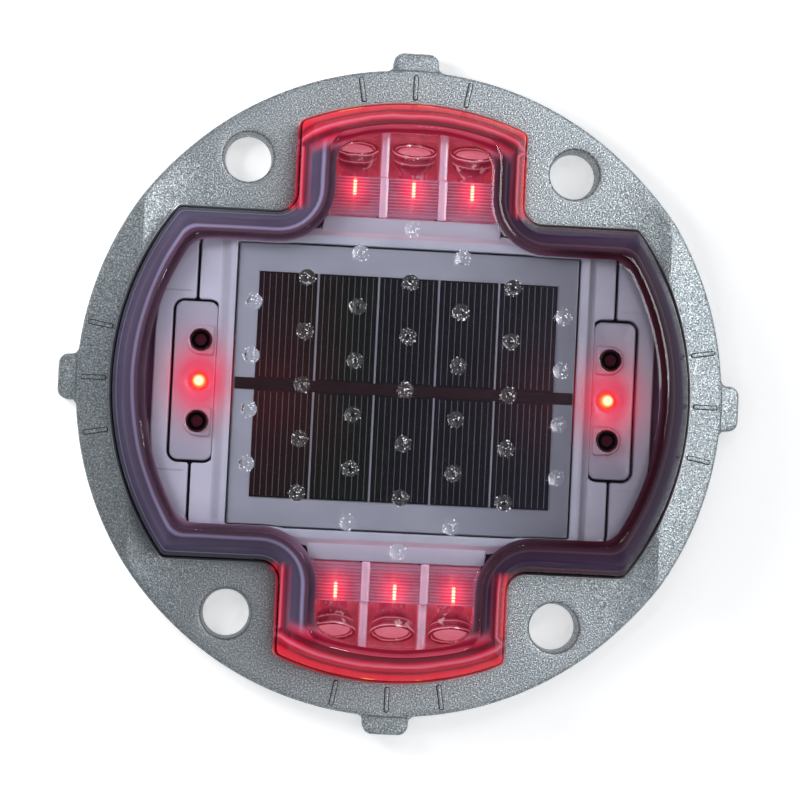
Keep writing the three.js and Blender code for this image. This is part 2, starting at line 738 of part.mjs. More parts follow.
add("housing", makeHousing(), castAluminium);
add("lens_cover", makeCover(), clearPolycarbonate);
add("cover_gasket", makeGasket(), darkRubber);
add("base_plate", makeBasePlate(), baseGrey);
POSTS.forEach(([x, y], i) => {
  add(`base_screw_${i + 1}`, makeScrew(x, y, BASE_BOTTOM + 0.05, 12, SCREW_HEAD_R, 1), steel);
});

add("panel_frame", makePanelFrame(), whitePlastic);
add("solar_board", makePanelBoard(), panelWhite);
add("cell_string_north", makeCellString(1), silicon);
add("cell_string_south", makeCellString(-1), silicon);
add("bus_ribbon", makeBusRibbon(), ribbonMetal);

for (const [side, sign] of [["west", -1], ["east", 1]]) {
  add(`side_carrier_${side}`, makeSideCarrier(sign), whitePlastic);
  add(`pod_plate_${side}`, makePodPlate(sign), whitePlastic);
  add(`side_led_board_${side}`, makeSideBoard(sign), boardWhite);
  add(`side_led_${side}`, makeSideLed(sign), redLight);
}

for (const [side, turn] of [["north", 0], ["south", 180]]) {
  const face = (solid) => solid.rotate([0, 0, turn]);
  add(`reflector_${side}`, face(makeReflector()), whitePlastic);
  add(`prism_window_${side}`, face(makePrismWindow()), clearPolycarbonate);
  add(`led_board_${side}`, face(ledBoardBlank(0)), boardWhite);
  [-1, 0, 1].forEach((slot, i) => {
    add(`led_${side}_${i + 1}`, face(makeLed(slot)), redLight);
    add(`collimator_${side}_${i + 1}`, face(makeCollimator(slot)), clearPolycarbonate);
  });
}

add("main_board", makeMainBoard(), boardGreen);
boardCorners().forEach((corner, i) => add(`board_screw_${i + 1}`, makeBoardScrew(corner), steel));
add("controller_chip", makeChip(), chipBlack);
add("inductor", makeInductor(), chipBlack);
add("capacitor", makeCapacitor(), steel);
BATTERY_X.forEach((x, i) => add(`battery_${i + 1}`, makeBattery(x), batteryGreen));
add("nickel_strip", makeNickelStrip(), steel);
for (const [name, points] of Object.entries(WIRES)) {
  add(name, makeWire(points, 0.7), name.endsWith("red") ? wireRed : wireBlack);
}

export default marker;
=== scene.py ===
"""Looks of a solar raised pavement marker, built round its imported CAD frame.

Shapes are written in millimetres and turned into metres where each mesh is made. +Z is up from
the road, the two light windows face +Y and -Y, and the side pods lie at +X and -X.
"""

import math

import bmesh
import bpy
import numpy as np
from mathutils import Matrix, Vector
from mathutils.geometry import delaunay_2d_cdt


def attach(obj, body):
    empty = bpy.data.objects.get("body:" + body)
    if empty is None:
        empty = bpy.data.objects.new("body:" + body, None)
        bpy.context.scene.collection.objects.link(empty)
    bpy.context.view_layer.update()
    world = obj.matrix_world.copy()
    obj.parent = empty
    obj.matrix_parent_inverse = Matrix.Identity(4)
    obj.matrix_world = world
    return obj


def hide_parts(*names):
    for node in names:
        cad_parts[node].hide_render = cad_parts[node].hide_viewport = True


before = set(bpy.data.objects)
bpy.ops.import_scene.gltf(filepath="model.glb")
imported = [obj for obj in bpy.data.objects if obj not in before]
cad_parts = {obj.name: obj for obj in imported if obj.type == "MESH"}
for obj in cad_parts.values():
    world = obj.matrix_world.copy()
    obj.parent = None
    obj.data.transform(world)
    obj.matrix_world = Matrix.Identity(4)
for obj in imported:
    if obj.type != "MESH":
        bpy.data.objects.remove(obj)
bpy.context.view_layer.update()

MM = 0.001
TAU = 2 * math.pi
SIDES = (-1, 1)
SLOTS = (-1, 0, 1)  # the three lamps of an end

# ---- Dimensions shared by the pieces, in millimetres ---------------------------------------
RIM_R, TAB_TIP, TAB_HALF = 71.0, 75.0, 5.0
PAD_Z, CREST_X, CREST_Z, TAB_Z = 6.0, 58.0, 8.4, 5.2
RAMP_START, RAMP_POWER = math.radians(47), 1.35
BOLTS = [(sx * 36.0, sy * 50.0) for sx in SIDES for sy in SIDES]
HOLE_R_TOP, HOLE_R_BOTTOM = 5.5, 5.05
LEDGE_Z, LEDGE_BOTTOM, LEDGE_W = 3.5, 2.0, 3.0

WINDOW_R, WING_Y, LAMP_X, NOTCH_FILLET = 63.2, 38.1, 24.8, 4.4
DECK_Z = 21.0
BUMP_DX, BUMP_DY, BUMP_R, BUMP_H = 11.05, 11.5, 1.65, 0.9

POD_X, POD_W, POD_L = 45.2, 9.0, 34.0
POST_X, POST_Y, POST_R, BORE_R = 44.1, 8.7, 1.9, 1.2
POSTS = [(sx * POST_X, sy * POST_Y) for sx in SIDES for sy in SIDES]
WHITE_LOW, WHITE_TOP = 12.3, 15.0  # frame plate and carriers
POD_LOW, POD_TOP, BOSS_TOP = 12.8, 15.35, 16.2
SHADE_SHEET_R, SHADE_SHEET_X = 57.4, 51.5
PANEL_X, PANEL_Y, PANEL_Z, PANEL_T = 73.4, 60.6, 13.3, 1.8
CELL_W, CELL_H, CELL_PITCH, MID_GAP = 12.5, 23.0, 13.0, 2.5
CELL_Z = PANEL_Z + PANEL_T + 0.05
LAMP_PITCH, LAMP_TILT, LAMP_Y, LAMP_Z = 12.7, math.radians(25), 42.6, 7.6
BAY_Y, BAY_HALF, DIVIDER_HALF, TROUGH_HALF = 37.0, 5.45, 0.92, 18.8
RIB_START, RIB_PITCH, RIBS, RIB_Z = 37.3, 0.7, 12, 14.4
RIB_END = RIB_START + RIBS * RIB_PITCH


# ---- Flat outlines: lists of (x, y), counter-clockwise -------------------------------------
def arc(cx, cy, r, a0, a1, n):
    """n + 1 points on an arc, both ends included."""
    return [
        (cx + r * math.cos(a0 + (a1 - a0) * i / n), cy + r * math.sin(a0 + (a1 - a0) * i / n))
        for i in range(n + 1)
    ]


def circle(cx, cy, r, n=32):
    return arc(cx, cy, r, 0, TAU, n)[:-1]


def round_rect(cx, cy, w, h, r, n=6):
    x, y = w / 2 - r, h / 2 - r
    quarter = math.pi / 2
    corners = [(x, y, 0), (-x, y, 1), (-x, -y, 2), (x, -y, 3)]
    return [p for px, py, k in corners for p in arc(cx + px, cy + py, r, k * quarter, (k + 1) * quarter, n)]


def clean(loop, gap=1e-5):
    """Drops points that lie on the one before."""
    return [p for i, p in enumerate(loop) if math.dist(p, loop[i - 1]) > gap]


def split_long(loop, step):
    """Adds points so that no side is longer than step."""
    out = []
    for i, a in enumerate(loop):
        b = loop[(i + 1) % len(loop)]
        n = max(1, math.ceil(math.dist(a, b) / step))
        out += [(a[0] + (b[0] - a[0]) * k / n, a[1] + (b[1] - a[1]) * k / n) for k in range(n)]
    return out


def mirrored(quarter):
    """The four mirror images of a run of points from the +X axis to the +Y axis."""
    upper = quarter + [(-x, y) for x, y in reversed(quarter)]
    return clean(upper + [(x, -y) for x, y in reversed(upper)])


def window_outline(inset):
    """The cover's outline moved in by inset: a circle with a square notch out of each corner."""
    corner = 1.2 + inset * 0.6
    r, wing, lamp, fillet = WINDOW_R - inset, WING_Y - inset, LAMP_X - inset, NOTCH_FILLET + inset
    wy = wing - corner
    wx = math.sqrt((r - corner) ** 2 - wy**2)
    lx = lamp - corner
    ly = math.sqrt((r - corner) ** 2 - lx**2)
    wa, la = math.atan2(wy, wx), math.atan2(ly, lx)
    half = math.pi / 2

    def line(a, b, n):
        return [(a[0] + (b[0] - a[0]) * k / n, a[1] + (b[1] - a[1]) * k / n) for k in range(1, n)]

    bend_in = arc(lamp + fillet, wing + fillet, fillet, 3 * half, 2 * half, 10)
    wing_corner = arc(wx, wy, corner, wa, half, 8)
    lamp_corner = arc(lx, ly, corner, 0, la, 8)
    return mirrored(
        arc(0, 0, r, 0, wa, 22)[:-1]
        + wing_corner
        + line(wing_corner[-1], bend_in[0], 10)
        + bend_in
        + line(bend_in[-1], lamp_corner[0], 8)
        + lamp_corner
        + arc(0, 0, r, la, half, 12)[1:]
    )


def flange_outline():
    """The rim's circle with a tab at each of four sides, filleted where the tab leaves the rim."""
    tip_r, root_r = 2.2, 1.6
    fillet_y = TAB_HALF + root_r
    fillet_x = math.sqrt((RIM_R + root_r) ** 2 - fillet_y**2)
    root = math.atan2(fillet_y, fillet_x)
    half = (
        [(TAB_TIP, TAB_HALF * k / 4) for k in range(0, 3)]
        + arc(TAB_TIP - tip_r, TAB_HALF - tip_r, tip_r, 0, math.pi / 2, 8)
        + arc(fillet_x, fillet_y, root_r, -math.pi / 2, -math.pi + root, 6)
        + arc(0, 0, RIM_R, root, math.pi / 4, 26)[1:]
    )
    other = [(y, x) for x, y in reversed(half)]
    quarter = clean(half + other)
    turns = [(1, 0), (0, 1), (-1, 0), (0, -1)]
    return clean([(x * c - y * s, x * s + y * c) for c, s in turns for x, y in quarter], 1e-4)


def offset(loop, d):
    """Moves a counter-clockwise loop inwards by d (outwards if negative), keeping its points."""
    p = np.array(loop)
    ahead = np.roll(p, -1, axis=0) - p
    ahead /= np.linalg.norm(ahead, axis=1, keepdims=True)
    behind = np.roll(ahead, 1, axis=0)
    n0 = np.stack([-behind[:, 1], behind[:, 0]], axis=1)
    n1 = np.stack([-ahead[:, 1], ahead[:, 0]], axis=1)
    mean = n0 + n1
    mean /= np.maximum((mean * mean).sum(axis=1, keepdims=True) / 2, 0.5)
    return [tuple(q) for q in p + mean * d]


def inside(loop, pts):
    """Which of pts, an (n, 2) array, lie inside the loop."""
    x, y = pts[:, 0], pts[:, 1]
    hit = np.zeros(len(pts), dtype=bool)
    for i, (x0, y0) in enumerate(loop):
        x1, y1 = loop[(i + 1) % len(loop)]
        if y0 == y1:
            continue
        hit ^= ((y0 > y) != (y1 > y)) & (x < (x1 - x0) * (y - y0) / (y1 - y0) + x0)
    return hit


def distance_to(loop, pts):
    """Distance of each of pts from the nearest side of the loop."""
    best = np.full(len(pts), 1e9)
    for i, a in enumerate(loop):
        a, b = np.array(a), np.array(loop[(i + 1) % len(loop)])
        ab = b - a
        t = np.clip(((pts - a) @ ab) / max(ab @ ab, 1e-12), 0, 1)
        best = np.minimum(best, np.linalg.norm(pts - (a + t[:, None] * ab), axis=1))
    return best


# ---- Mesh building -------------------------------------------------------------------------
def add(name, data):
    obj = bpy.data.objects.new(name, data)
    bpy.context.collection.objects.link(obj)
    return obj


SLIVER, WELD = 1e-9, 2e-7  # smallest triangle (square mm) and how near vertices join (m)


class Solid:
    """Vertices and faces gathered from rings, strips and flat regions, in millimetres."""

    def __init__(self):
        self.verts, self.faces = [], []
        self.worn = {}  # material number of each face that doesn't wear the first one

    def ring(self, loop, z):
        """Adds a loop at a height, or at heights, and returns its vertex numbers."""
        start = len(self.verts)
        zs = z if hasattr(z, "__len__") else [z] * len(loop)
        self.verts += [(x, y, h) for (x, y), h in zip(loop, zs)]
        return list(range(start, start + len(loop)))

    def rounds(self, x, y, sides, profile):
        """A circle round (x, y) for each (radius, height) of the profile."""
        return [self.ring(circle(x, y, r, sides), z) for r, z in profile]

    def edges(self, loop, z0, z1, edge, under, steps=3, sign=1):
        """Rings of an upright side from z0 to z1, rounded by under at the foot and by edge on top."""
        rings = [self.ring(offset(loop, sign * i), z0 + d) for i, d in reversed(round_steps(under, 2))]
        return rings + [self.ring(offset(loop, sign * i), z1 - d) for i, d in round_steps(edge, steps)]

    def points(self, pts):
        start = len(self.verts)
        self.verts += [tuple(p) for p in pts]
        return list(range(start, start + len(pts)))

    def strip(self, low, high, flip=False):
        """Quads between two rings with the same count; faces look outwards from the loop."""
        n = len(low)
        for i in range(n):
            j = (i + 1) % n
            quad = (low[i], low[j], high[j], high[i])
            self.faces.append(quad[::-1] if flip else quad)

    def stack(self, rings, flip=False):
        for low, high in zip(rings, rings[1:]):
            self.strip(low, high, flip)

    def fan(self, ring, tip, flip=False):
        n = len(ring)
        for i in range(n):
            tri = (ring[i], ring[(i + 1) % n], tip)
            self.faces.append(tri[::-1] if flip else tri)

    def wear(self, number, first):
        """Gives the faces added since face number first another of the piece's materials."""
        for i in range(first, len(self.faces)):
            self.worn[i] = number

    def region(self, outer, holes=(), extra=(), lines=(), up=True):
        """Fills the area between the outer ring and the holes; extra are loose vertices in it."""
        ids = list(outer) + [v for h in holes for v in h] + list(extra)
        local = {v: i for i, v in enumerate(ids)}
        flat = [Vector((self.verts[v][0], self.verts[v][1])) for v in ids]
        edges = []
        for ring in [outer, *holes]:
            edges += [(local[ring[i]], local[ring[(i + 1) % len(ring)]]) for i in range(len(ring))]
        edges += [(local[a], local[b]) for a, b in lines]
        tris, origin = delaunay_2d_cdt(flat, edges, [], 0, 1e-7)[2:4]
        back = [ids[o[0]] if o else None for o in origin]
        tris = [[back[i] for i in t] for t in tris]
        tris = [t for t in tris if None not in t and self.area(t) > SLIVER]
        mid = np.array([np.mean([self.verts[v][:2] for v in t], axis=0) for t in tris])
        keep = inside([self.verts[v][:2] for v in outer], mid)
        for h in holes:
            keep &= ~inside([self.verts[v][:2] for v in h], mid)
        for t, ok in zip(tris, keep):
            if ok:
                self.faces.append(tuple(t) if up else tuple(t[::-1]))

    def area(self, tri):
        """Area of a triangle of vertex numbers, seen from above."""
        (ax, ay), (bx, by), (cx, cy) = [self.verts[v][:2] for v in tri]
        return abs((bx - ax) * (cy - ay) - (cx - ax) * (by - ay)) / 2

    def build(self, name, material, smooth_deg=32):
        mesh = bpy.data.meshes.new(name)
        mesh.from_pydata([(x * MM, y * MM, z * MM) for x, y, z in self.verts], [], self.faces)
        for i, number in self.worn.items():
            mesh.polygons[i].material_index = number
        mesh.validate()
        bm = bmesh.new()
        bm.from_mesh(mesh)
        bmesh.ops.remove_doubles(bm, verts=bm.verts, dist=WELD)
        loose = [v for v in bm.verts if not v.link_faces]
        bmesh.ops.delete(bm, geom=loose, context="VERTS")
        bmesh.ops.recalc_face_normals(bm, faces=bm.faces)
        bm.to_mesh(mesh)
        bm.free()
        for m in material if isinstance(material, list) else [material]:
            mesh.materials.append(m)
        for poly in mesh.polygons:
            poly.use_smooth = True
        mesh.set_sharp_from_angle(angle=math.radians(smooth_deg))
        return add(name, mesh)


def weighted(obj):
    """Keeps large flat faces flat-looking beside their rounded edges."""
    mod = obj.modifiers.new("weighted", "WEIGHTED_NORMAL")
    mod.keep_sharp = True
    mod.weight = 80
    return obj


def round_steps(radius, n=3):
    """(distance in, drop) pairs round a quarter circle from a side wall up to a top face."""
    return [
        (radius * (1 - math.cos(a)), radius * (1 - math.sin(a)))
        for a in [math.pi / 2 * k / n for k in range(n + 1)]
    ]


def plate(name, material, outer, holes, z0, z1, edge=0.3, under=0.15):
    """A flat plate with holes, its top edges rounded by edge and its bottom ones by under."""
    s = Solid()
    tops, bottoms = [], []
    for loop, sign in [(outer, 1)] + [(h, -1) for h in holes]:
        rings = s.edges(loop, z0, z1, edge, under, sign=sign)
        s.stack(rings, flip=sign < 0)
        bottoms.append(rings[0])
        tops.append(rings[-1])
    s.region(tops[0], tops[1:])
    s.region(bottoms[0], bottoms[1:], up=False)
    return weighted(s.build(name, material))


def frame_ring(name, material, half_x, half_y, profile, corner):
    """A rectangular ring: profile is a closed run of (distance out from the rectangle, height)."""
    s = Solid()
    rings = [
        s.ring(round_rect(0, 0, 2 * (half_x + d), 2 * (half_y + d), max(corner + d, 0.15)), z)
        for d, z in profile
    ]
    s.stack(rings + rings[:1])
    return weighted(s.build(name, material, 35))


def lathe(name, material, profile, sides=40, place=None, smooth_deg=38, split=None):
    """Turns a run of (radius, height) about Z, then moves it by the matrix place (millimetres).

    From profile point number split on, it wears the second material.
    """
    s = Solid()
    rings = []
    for r, z in profile:
        if r < 1e-6:
            rings.append(s.points([(0, 0, z)]))
        else:
            rings.append(s.ring(circle(0, 0, r, sides), z))
    for k, (low, high) in enumerate(zip(rings, rings[1:])):
        first = len(s.faces)
        if len(low) == 1:
            s.fan(high, low[0], flip=True)
        elif len(high) == 1:
            s.fan(low, high[0])
        else:
            s.strip(low, high)
        if split is not None and k >= split:
            s.wear(1, first)
    if place is not None:
        s.verts = [tuple(place @ Vector(v)) for v in s.verts]
    return s.build(name, material, smooth_deg)


def bar(s, x0, x1, y0, y1, z0, z1, r=0.2):
    """Adds a box with rounded upright and top edges to the solid s."""
    r = min(r, (x1 - x0) / 2.2, (y1 - y0) / 2.2, (z1 - z0) / 2.2)
    loop = round_rect((x0 + x1) / 2, (y0 + y1) / 2, x1 - x0, y1 - y0, r, 3)
    rings = [s.ring(loop, z0)] + [s.ring(offset(loop, i * 0.94), z1 - d) for i, d in round_steps(r, 2)]
    s.stack(rings)
    s.region(rings[-1])
    s.region(rings[0], up=False)


def boxes(name, material, sizes, smooth_deg=32):
    """One piece made of boxes, each given as bar takes it."""
    s = Solid()
    for size in sizes:
        bar(s, *size)
    return s.build(name, material, smooth_deg)


# ---- Materials -----------------------------------------------------------------------------
class Value:
    """A number worked out by nodes, so that plain arithmetic on it adds more nodes."""

    def __init__(self, mat, socket):
        self.mat, self.socket = mat, socket

    def __add__(self, other):
        return self.mat.math("ADD", self, other)

    def __sub__(self, other):
        return self.mat.math("SUBTRACT", self, other)

    def __rsub__(self, other):
        return self.mat.math("SUBTRACT", other, self)

    def __mul__(self, other):
        return self.mat.math("MULTIPLY", self, other)

    def __truediv__(self, other):
        return self.mat.math("DIVIDE", self, other)

    def __abs__(self):
        return self.mat.math("ABSOLUTE", self)


class Mat:
    """A Principled material with short helpers to add nodes to it."""

    def __init__(self, name, color, rough, metal=0.0, **values):
        self.mat = bpy.data.materials.new(name)
        self.mat.use_nodes = True
        self.tree = self.mat.node_tree
        self.bsdf = self.tree.nodes["Principled BSDF"]
        self.set("Base Color", (*color, 1))
        self.set("Roughness", rough)
        self.set("Metallic", metal)
        for key, value in values.items():
            self.set(key.replace("_", " "), value)
        # Object coordinates in metres, which are the marker's own frame.
        self.place = self.node("TexCoord").outputs["Object"]
        split = self.node("SeparateXYZ")
        self.link(self.place, split.inputs[0])
        self.x, self.y, self.z = [Value(self, axis) for axis in split.outputs]

    def set(self, socket, value):
        self.bsdf.inputs[socket].default_value = value

    def node(self, kind, **settings):
        n = self.tree.nodes.new("ShaderNode" + kind)
        for key, value in settings.items():
            if hasattr(n, key):
                setattr(n, key, value)
            else:
                n.inputs[key.replace("_", " ")].default_value = value
        return n

    def link(self, a, b):
        self.tree.links.new(a.socket if isinstance(a, Value) else a, b)

    def noise(self, scale, detail=3.0, rough=0.55):
        n = self.node("TexNoise", Scale=scale, Detail=detail, Roughness=rough)
        self.link(self.place, n.inputs["Vector"])
        return Value(self, n.outputs["Fac"])

    def waver(self, scale, detail, amount):
        """Noise that swings half of amount to each side of 0."""
        return (self.noise(scale, detail) - 0.5) * amount

    def math(self, op, *values):
        n = self.node("Math", operation=op)
        for v, sock in zip(values, n.inputs):
            if isinstance(v, (int, float)):
                sock.default_value = v
            else:
                self.link(v, sock)
        return Value(self, n.outputs[0])

    def remap(self, value, a, b, c=0.0, d=1.0, smooth=False):
        """c where value is a, d where it is b, and in between or held at the nearer one elsewhere."""
        n = self.node("MapRange", clamp=True)
        if smooth:
            n.interpolation_type = "SMOOTHSTEP"
        self.link(value, n.inputs["Value"])
        for key, v in zip(("From Min", "From Max", "To Min", "To Max"), (a, b, c, d)):
            n.inputs[key].default_value = v
        return Value(self, n.outputs[0])

    def over(self, value, a, b, *rest, **more):
        """As remap, for a length with a and b in millimetres."""
        return self.remap(value, a * MM, b * MM, *rest, **more)

    def close(self, value, centre, outer, inner):
        """1 within inner millimetres of centre, falling to 0 at outer."""
        return self.over(abs(value - centre * MM), outer, inner)

    def ramp(self, value, *stops):
        n = self.node("ValToRGB")
        el = n.color_ramp.elements
        while len(el) < len(stops):
            el.new(0.5)
        for e, (pos, color) in zip(el, stops):
            e.position, e.color = pos, (*color, 1)
        self.link(value, n.inputs["Fac"])
        return n.outputs["Color"]

    def mix(self, factor, a, b):
        n = self.node("Mix", data_type="RGBA")
        for sock, v in ((n.inputs[0], factor), (n.inputs[6], a), (n.inputs[7], b)):
            if isinstance(v, (int, float)):
                sock.default_value = v
            elif isinstance(v, tuple):
                sock.default_value = (*v, 1)
            else:
                self.link(v, sock)
        return n.outputs[2]

    def to(self, socket, value):
        self.link(value, self.bsdf.inputs[socket])

    def paint(self, color):
        self.to("Base Color", color)

    def mottle(self, scale, detail, low, high, edges=(0.3, 0.7)):
        """Paints it from color low to color high by noise."""
        self.paint(self.ramp(self.noise(scale, detail), (edges[0], low), (edges[1], high)))

    def glow(self, color, strength):
        """Light given off; color and strength are constants or come from nodes."""
        if isinstance(color, tuple):
            self.set("Emission Color", (*color, 1))
        else:
            self.to("Emission Color", color)
        if isinstance(strength, Value):
            self.to("Emission Strength", strength)
        else:
            self.set("Emission Strength", strength)

    def bump(self, height, strength, distance_mm):
        n = self.node("Bump", Strength=strength, Distance=distance_mm * MM)
        self.link(height, n.inputs["Height"])
        self.to("Normal", n.outputs["Normal"])


def shadowless(m, tint=(1, 1, 1)):
    """Lets light through a clear material unbent, so that what lies inside is lit once."""
    path = m.node("LightPath")
    clear = m.node("BsdfTransparent")
    clear.inputs["Color"].default_value = (*tint, 1)
    shader = m.bsdf.outputs[0]
    for ray in ("Is Shadow Ray", "Is Diffuse Ray"):
        mixer = m.node("MixShader")
        m.link(path.outputs[ray], mixer.inputs[0])
        m.link(shader, mixer.inputs[1])
        m.link(clear.outputs[0], mixer.inputs[2])
        shader = mixer.outputs[0]
    m.link(shader, m.tree.nodes["Material Output"].inputs["Surface"])


SIDE_LEDS = [(-POST_X, 0, 15.4), (POST_X, 0, 15.4)]
BAR_LEDS = [(slot * LAMP_PITCH, sy * 43.4, 12.0) for slot in SLOTS for sy in SIDES]


def near_points(m, centres, radius_mm, stretch=(1, 1, 1)):
    """1 at the given points, falling off smoothly to 0 with distance."""
    total = None
    for c in centres:
        d = m.node("VectorMath", operation="SUBTRACT")
        m.link(m.place, d.inputs[0])
        d.inputs[1].default_value = [v * MM for v in c]
        scaled = m.node("VectorMath", operation="MULTIPLY")
        m.link(d.outputs["Vector"], scaled.inputs[0])
        scaled.inputs[1].default_value = [1 / (k * radius_mm * MM) for k in stretch]
        dot = m.node("VectorMath", operation="DOT_PRODUCT")
        m.link(scaled.outputs["Vector"], dot.inputs[0])
        m.link(scaled.outputs["Vector"], dot.inputs[1])
        fall = m.math("POWER", math.e, m.math("MULTIPLY", dot.outputs["Value"], -1.0))
        total = fall if total is None else total + fall
    return total


def cast_aluminium():
    m = Mat("cast_aluminium", (0.36, 0.39, 0.41), 0.5, 1.0)
    grain = m.noise(3000, 2.0, 0.65)
    blotch = m.noise(70, 3.0, 0.5)
    speck = m.ramp(
        grain,
        (0.30, (0.07, 0.085, 0.095)),
        (0.46, (0.23, 0.265, 0.285)),
        (0.56, (0.37, 0.41, 0.43)),
        (0.70, (0.88, 0.93, 0.96)),
    )
    soft = m.ramp(blotch, (0.3, (0.27, 0.31, 0.33)), (0.7, (0.42, 0.45, 0.47)))
    # Painted shade: the flange drawn darker towards the south-west.
    painted_shade_sw = near_points(m, [(-50, -38, 5)], 44) * 0.5
    m.paint(m.mix(painted_shade_sw, m.mix(0.22, speck, soft), (0.13, 0.145, 0.155)))
    m.to("Roughness", m.remap(grain, 0.3, 0.7, 0.62, 0.40))
    coarse = m.noise(1500, 3.0, 0.6)
    m.bump(grain + coarse, 0.6, 0.12)
    return m.mat


def clear_cover():
    """Clear polycarbonate of the deck, with a faint rosy tint."""
    m = Mat("clear_cover", (0.93, 0.90, 0.94), 0.02, Transmission_Weight=1.0, IOR=1.40)
    m.mottle(60, 2.0, (0.93, 0.90, 0.94), (0.95, 0.92, 0.96))
    shadowless(m, (0.97, 0.95, 0.98))
    return m.mat


def beside_lamps(m):
    """Distance out across the upright sides of the ends, where the west ones take the lamps' painted red
    light at the edge only.
    """
    return m.math("MAXIMUM", m.x, -1.7 * MM - m.x)


def light_ends(m):
    """How far a point of the cover lies in the ends where the lamps' red light is painted on: 0 in the side
    walls, 1 round the lamps.
    """
    far = abs(m.y)
    side = m.over(beside_lamps(m), 20.4, 22.0) * m.over(far, 37.8, 39.5)
    return m.math("MAXIMUM", m.over(far, 49, 54, smooth=True), side)


def from_middle(m, wander_mm):
    """Distance from the marker's axis, wandering a little so that bands on it aren't perfect."""
    flat = m.node("CombineXYZ")
    m.link(m.x, flat.inputs[0])
    m.link(m.y, flat.inputs[1])
    length = m.node("VectorMath", operation="LENGTH")
    m.link(flat.outputs[0], length.inputs[0])
    ripple = m.waver(130, 2.0, wander_mm * MM)
    return m.math("ADD", length.outputs["Value"], ripple)


def cover_wall():
    """The cover's sloping walls: dark purple with pale lines of painted reflection, darker in the east and at
    the sides as painted shade, and red where they stand round the lamps, where the lamps' light is painted on
    and glows.
    """
    m = Mat("cover_wall", (0.09, 0.06, 0.12), 0.20, Specular_IOR_Level=0.08, IOR=1.45)
    far = abs(m.y)
    height = m.z + m.waver(60, 2.0, 0.7 * MM)
    # Painted reflection and shade: bands up the wall, with pale lines in the west and darker bands in the
    # east.
    west = m.ramp(
        m.over(height, 9, 21),
        (0.00, (0.055, 0.060, 0.075)),
        (0.23, (0.060, 0.055, 0.085)),
        (0.26, (0.26, 0.25, 0.36)),
        (0.30, (0.075, 0.055, 0.110)),
        (0.55, (0.090, 0.070, 0.130)),
        (0.80, (0.060, 0.040, 0.085)),
        (0.855, (0.25, 0.22, 0.36)),
        (0.89, (0.20, 0.16, 0.29)),
        (0.92, (0.075, 0.030, 0.060)),
    )
    east = m.ramp(
        m.over(height, 9, 21),
        (0.00, (0.055, 0.030, 0.040)),
        (0.20, (0.090, 0.022, 0.040)),
        (0.28, (0.130, 0.060, 0.110)),
        (0.33, (0.036, 0.014, 0.045)),
        (0.60, (0.050, 0.018, 0.070)),
        (0.84, (0.034, 0.010, 0.036)),
        (0.88, (0.110, 0.040, 0.095)),
        (0.92, (0.050, 0.010, 0.030)),
    )
    wall = m.mix(m.over(m.x, -8, 16), west, east)
    shade = m.over(abs(m.x), 46, 54, 0.0, 0.45)
    wall = m.mix(shade, wall, (0.018, 0.010, 0.030))
    rim = m.over(from_middle(m, 0.9), 54, 63.4)
    beside = m.over(beside_lamps(m), 19.5, 24.9) * m.over(far, 56, 52)
    # Painted lamp light: red bands round the ends.
    bands = m.ramp(
        m.math("MAXIMUM", rim, beside),
        (0.00, (0.12, 0.004, 0.02)),
        (0.14, (0.62, 0.10, 0.18)),
        (0.24, (0.60, 0.020, 0.06)),
        (0.34, (0.10, 0.002, 0.012)),
        (0.44, (0.16, 0.003, 0.018)),
        (0.50, (0.66, 0.016, 0.05)),
        (0.57, (0.74, 0.16, 0.25)),
        (0.61, (0.60, 0.010, 0.035)),
        (0.72, (0.20, 0.002, 0.015)),
        (0.80, (0.82, 0.014, 0.040)),
        (0.92, (0.86, 0.030, 0.045)),
        (0.98, (0.25, 0.004, 0.02)),
    )
    red = light_ends(m)
    m.paint(m.mix(red, wall, m.mix(0.5, bands, (0.10, 0.004, 0.012))))
    # Painted glints: orange flecks along the foot of the ends. The ends glow with the painted red lamp light.
    glint_patches = m.remap(m.noise(110, 1.0), 0.54, 0.60)
    foot = glint_patches * m.close(m.z, 9.5, 0.9, 0.4) * m.over(far, 50, 54)
    m.glow(m.mix(foot, bands, (1.0, 0.32, 0.05)), red * m.math("MULTIPLY_ADD", foot, 0.5, 0.45))
    return m.mat


def cover_wall_inside():
    """The same walls seen from within: mottled lavender over dark maroon, turning maroon in the east as
    painted shade, with the lamps' red light painted on, and glowing, at the ends.
    """
    m = Mat("cover_wall_inside", (0.06, 0.012, 0.03), 0.2, Specular_IOR_Level=0.2, IOR=1.45)
    mottle_and_shade = m.ramp(m.noise(90, 2.0), (0.3, (0.28, 0.16, 0.26)), (0.7, (0.46, 0.30, 0.44)))
    # Painted shade: darker maroon towards the east.
    mottle_and_shade = m.mix(m.over(m.x, 10, 40), mottle_and_shade, (0.15, 0.035, 0.070))
    red = light_ends(m)
    # Painted lamp light: pink bands at the ends, in the colour and as glow, with a faint pink glow
    # everywhere.
    pink = m.ramp(
        m.over(from_middle(m, 0.8), 53.5, 58.5),
        (0.00, (0.20, 0.010, 0.035)),
        (0.22, (0.72, 0.16, 0.25)),
        (0.36, (0.38, 0.015, 0.05)),
        (0.52, (0.22, 0.006, 0.03)),
        (0.66, (0.70, 0.10, 0.17)),
        (0.80, (0.30, 0.010, 0.035)),
    )
    m.paint(m.mix(red, mottle_and_shade, m.mix(0.5, pink, (0.14, 0.008, 0.02))))
    m.glow(pink, m.math("MULTIPLY_ADD", red, 0.58, 0.02))
    return m.mat


